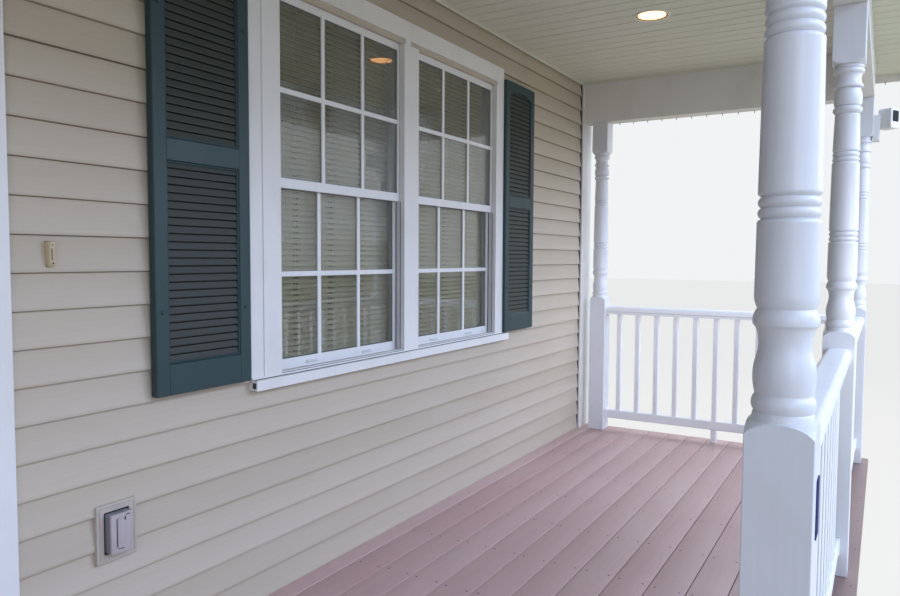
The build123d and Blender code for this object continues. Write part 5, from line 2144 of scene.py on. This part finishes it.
@dataclass
class ShingledRoof:
    """Hipped roof with laid shingle tabs, hip caps, drip edge, flashing and fascia."""

    exposure: float = 143.0
    tab: float = 333.0
    slot_gap: float = 7.0
    butt: float = 7.0
    overlap: float = 22.0
    cap_pitch: float = 150.0
    cap_half: float = 105.0
    cap_lap: float = 1.25
    edge: float = 63.25
    drip: tuple[Point2, ...] = ((0, -0.2), (0, -12), (1.2, -12), (1.2, -1.4), (23, -1.4), (23, -0.2))
    apron: tuple[Point2, ...] = ((-1, 75), (-2.5, 75), (-3.5, 6), (-95, -24), (-95, -25.5), (-2, 4))
    step: tuple[Point2, ...] = ((-1, 75), (-3, 75), (-4, 8), (-90, 8), (-90, 6), (-2, 6))

    def tabs(
        self,
        shaper: Shaper,
        place: Callable[[float, float, float], Point3],
        limits: Callable[[float], Point2],
        run: float,
    ) -> None:
        """Lay rows of tabs on one slope.

        Args:
            shaper: Mesh that they go into.
            place: Turns (along the eave, level distance from it, lift) into a point.
            limits: Ends of the slope along the eave at a level distance.
            run: Level depth of the slope.
        """
        level = self.exposure / math.sqrt(1 + AT.roof_pitch**2)
        for row in range(math.ceil(run / level)):
            d0, d1 = row * level, min((row + 1) * level + self.overlap, run)
            (a0, b0), (a1, b1) = limits(d0), limits(d1)
            at = math.floor(a0 / self.tab) * self.tab - (row % 2) * self.tab / 2
            while at < b0:
                lo0, hi0 = max(at + self.slot_gap / 2, a0), min(at + self.tab - self.slot_gap / 2, b0)
                lo1, hi1 = min(max(lo0, a1), b1), max(min(hi0, b1), a1)
                at += self.tab
                if hi0 - lo0 < 20:
                    continue
                lift = self.butt + 1.6 * math.sin(at * 0.37 + row * 1.7)
                corners = ((lo0, d0, lift), (hi0, d0, lift), (hi1, d1, 1.5), (lo1, d1, 1.5))
                shaper.skin([[place(u, d, up * height) for u, d, up in corners] for height in (0.0, 1.0)])

    def caps(self, shaper: Shaper, side: int, depth: float) -> None:
        """Fold caps over one hip.

        Args:
            shaper: Mesh that they go into.
            side: -1 or 1 for the end.
            depth: Level depth of the roof.
        """
        count, w = int(math.hypot(depth, depth) / self.cap_pitch), self.cap_half
        for n in range(count):
            d0, d1 = n * depth / count, min((n + self.cap_lap) * depth / count, depth)
            rings = []
            for d, lift in ((d0, 13.0), (d1, 6.0)):
                u, y, z = AT.roof_half - d, AT.drip_y + d, AT.roof_top_eave + d * AT.roof_pitch + lift
                top = [(side * (u - w), y, z - 4), (side * u, y, z), (side * u, y + w, z - 4)]
                rings.append(top + [(p[0], p[1], p[2] - 5.0) for p in reversed(top)])
            shaper.skin(rings)

    def build(self) -> None:
        """Dress the roof's nodes and lay what shows on them."""
        dress_nodes(EdgedShingle(), 0.0, "roof")
        dress_nodes(SawnLumber(), 1.0, "rafters")
        dress_nodes(WrappedTrim(), 1.5, "fascia_front", "fascia_ends")
        depth = AT.wall_y - AT.drip_y
        eave, half = AT.roof_top_eave, AT.roof_half
        shingles = Shaper()

        def front(u: float, d: float, lift: float) -> Point3:
            """Point on the front slope."""
            return (u, AT.drip_y + d, eave + d * AT.roof_pitch + lift)

        self.tabs(shingles, front, lambda d: (-half + d, half - d), depth)
        for side in (-1, 1):

            def end(u: float, d: float, lift: float, side: int = side) -> Point3:
                """Point on an end slope."""
                return (side * (half - d), u, eave + d * AT.roof_pitch + lift)

            self.tabs(shingles, end, lambda d: (AT.drip_y + d, AT.wall_y), depth)
            self.caps(shingles, side, depth)
        shingles.piece("shingle_tabs", AsphaltShingle(), angle=20.0)
        self.metal(depth)

    def metal(self, depth: float) -> None:
        """Fold the drip edge round the eaves and the flashing up the wall.

        Args:
            depth: Level depth of the roof.
        """
        metal = Shaper()
        y, half, low = AT.wall_y, AT.roof_half, AT.roof_top_eave - self.edge
        metal.prism([(AT.drip_y + u, low + v) for u, v in self.drip], Axis.X, -half, half)
        for side in (-1, 1):
            section = [(side * (half - u), low + v) for u, v in self.drip]
            metal.prism(section, Axis.Y, AT.drip_y + 1.2, y)
        ridge, peak = half - depth, AT.roof_top_eave + depth * AT.roof_pitch
        metal.prism([(y + u, peak + v) for u, v in self.apron], Axis.X, -ridge, ridge)
        foot = peak - (AT.corner_inner - ridge) * AT.roof_pitch
        for side in (-1, 1):
            ends = ((side * ridge, peak), (side * AT.corner_inner, foot))
            metal.skin([[(x, y + u, z + v) for u, v in self.step] for x, z in ends])
        metal.piece("drip_edge_and_flashing", GalvanisedSheet())


@dataclass
class EaveHooks:
    """Small black cup hooks, a hand's width apart, under the end beam and the end eave."""

    pitch: float = 101.6
    wire: float = 1.9
    bend: float = 5.0
    beam_row: Point2 = (-520.0, 905.0)
    eave_row: Point2 = (-913.0, 1080.0)

    def hook(self, shaper: Shaper, x: float, y: float, z: float) -> None:
        """Bend one hook that is screwed in at a point overhead.

        Args:
            shaper: Mesh that it goes into.
            x: Place along the wall.
            y: Place out from the wall.
            z: Height of the underside that it is screwed into.
        """
        rings = []
        for n in range(13):
            turn = math.pi * (0.5 + 1.4 * n / 12)
            out = Vector((math.cos(turn), 0.0, math.sin(turn)))
            middle = Vector((x, y, z - 2.5 - self.bend)) + out * self.bend
            ring = []
            for m in range(8):
                side = 2 * math.pi * m / 8
                ring.append(middle + (out * math.cos(side) + Vector((0, 1, 0)) * math.sin(side)) * self.wire)
            rings.append(ring)
        shaper.skin(rings)
        shaper.lathe([(self.wire, -3.5), (self.wire, -1.5), (4.6, -1.2), (4.6, 0.0)], (x, y, z), Axis.Z, 12)

    def build(self) -> None:
        """Screw in both rows."""
        hooks = Shaper()
        beam_x = AT.end_x + AT.post / 2 - 9.0
        eave_x = AT.roof_half - 25.0 - 12.5
        rows = ((beam_x, AT.beam_foot, self.beam_row), (eave_x, AT.fascia_foot, self.eave_row))
        for x, z, (low, high) in rows:
            for n in range(int((high - low) / self.pitch) + 1):
                self.hook(hooks, x, high - n * self.pitch, z)
        hooks.piece("cup_hooks", BlackenedSteelAndShade())


@dataclass
class Studio:
    """Floor, light and camera, in metres."""

    eye: Point3 = (-2.349, -0.78829, 1.79931)
    focal: float = 726.1
    picture_width: float = 900.0
    sensor: float = 36.0
    yaw: float = 0.5395
    pitch: float = -0.0560
    roll: float = 0.0050
    reach: float = 60.0

    def floor(self) -> None:
        """Lay a plain pale floor just below the ground line."""
        mesh, r = bpy.data.meshes.new("studio_floor"), self.reach
        corners = [(x, y, -0.001) for x, y in ((-r, -r), (r, -r), (r, r), (-r, r))]
        mesh.from_pydata(corners, [], [(0, 1, 2, 3)])
        mesh.materials.append(StageFloor().material())
        floor = hang("studio_floor", mesh)

    def lamp(
        self,
        name: str,
        place: Point3,
        aim: Point3,
        size: Point2,
        power: float,
        colour: str,
        spread: float = 180.0,
    ) -> None:
        """Hang one softbox.

        Args:
            name: Name of the lamp.
            place: Its middle.
            aim: Point that it faces.
            size: Width and height.
            power: Watts.
            colour: Colour as sRGB hex.
            spread: Angle of the beam in degrees.
        """
        data = bpy.data.lights.new(name, "AREA")
        data.shape = "RECTANGLE"
        data.size, data.size_y = size
        data.energy = power
        data.spread = math.radians(spread)
        data.color = linear(colour)[:3]
        obj = hang(name, data)
        obj.location = place
        obj.rotation_euler = (Vector(aim) - Vector(place)).to_track_quat("-Z", "Y").to_euler()

    def light(self) -> None:
        """Set the world, dim and bluish to matt surfaces and plain to the eye, and hang the softboxes."""
        world = bpy.data.worlds.new("studio")
        bpy.context.scene.world = world
        world.use_nodes = True
        board = NodeBoard(world.node_tree)
        path = board.add("ShaderNodeLightPath")
        seen = path.outputs["Is Camera Ray"]
        for kind in ("Is Glossy Ray", "Is Transmission Ray"):
            rays = {0: seen, 1: path.outputs[kind]}
            seen = board.add("ShaderNodeMath", rays, operation="MAXIMUM").outputs[0]
        sky = board.add("ShaderNodeBackground", {0: "#D8E4F8", 1: 0.76}).outputs[0]
        plain = board.add("ShaderNodeBackground", {0: "#F1F3F4", 1: 1.0}).outputs[0]
        mixed = board.add("ShaderNodeMixShader", {0: seen, 1: sky, 2: plain}).outputs[0]
        board.add("ShaderNodeOutputWorld", {0: mixed})
        self.lamp("street_softbox", (0.8, -6.2, 5.8), (0.4, 0.2, 0.7), (9.0, 3.5), 620.0, "#BED3FF")
        self.lamp("garden_softbox", (3.2, -4.7, 2.9), (2.2, 0.8, 0.9), (2.6, 2.0), 85.0, "#CCDCFF")
        self.lamp("end_softbox", (6.6, -0.6, 5.8), (2.2, 0.1, 0.8), (2.6, 2.4), 165.0, "#E6EEFF")
        self.lamp("near_softbox", (-6.5, -4.5, 3.0), (0.4, 0.6, 1.3), (4.0, 3.0), 125.0, "#D6E2FF")
        self.lamp("rail_softbox", (0.3, -2.3, 1.95), (2.8, 0.6, 0.95), (1.0, 0.8), 3.6, "#F0F2F8", 40.0)

    def camera(self) -> None:
        """Stand the camera where the photograph was taken from."""
        data = bpy.data.cameras.new("photo_camera")
        data.sensor_width = self.sensor
        data.lens = self.focal / self.picture_width * self.sensor
        data.clip_start, data.clip_end = 0.02, 200.0
        cy, sy, cp, sp = math.cos(self.yaw), math.sin(self.yaw), math.cos(self.pitch), math.sin(self.pitch)
        ahead = Vector((cy * cp, sy * cp, sp))
        right = Vector((sy, -cy, 0.0))
        up = right.cross(ahead)
        turned_right = right * math.cos(self.roll) + up * math.sin(self.roll)
        turned_up = up * math.cos(self.roll) - right * math.sin(self.roll)
        matrix = Matrix((turned_right, turned_up, -ahead)).transposed().to_4x4()
        matrix.translation = Vector(self.eye)
        camera = hang("photo_camera", data)
        camera.matrix_world = matrix
        bpy.context.scene.camera = camera

    def build(self) -> None:
        """Set up the stage."""
        self.camera()
        self.floor()
        self.light()
        bpy.context.scene.view_settings.view_transform = "Standard"


def main() -> None:
    """Build the studio and the porch's sub-assemblies in order."""
    logging.basicConfig(level=logging.INFO, format="%(name)s %(message)s")
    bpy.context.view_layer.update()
    Studio().build()
    assemblies = (
        HouseWall(),
        DeckAndSteps(),
        TurnedPosts(),
        PorchRailings(),
        BoardedCeiling(),
        TwinWindow(),
        LouvredShutters(),
        EntryDoor(),
        WallFittings(),
        PostCamera(),
        PostPlate(),
        ShingledRoof(),
        EaveHooks(),
    )
    for assembly in assemblies:
        assembly.build()


if __name__ == "__main__":
    main()
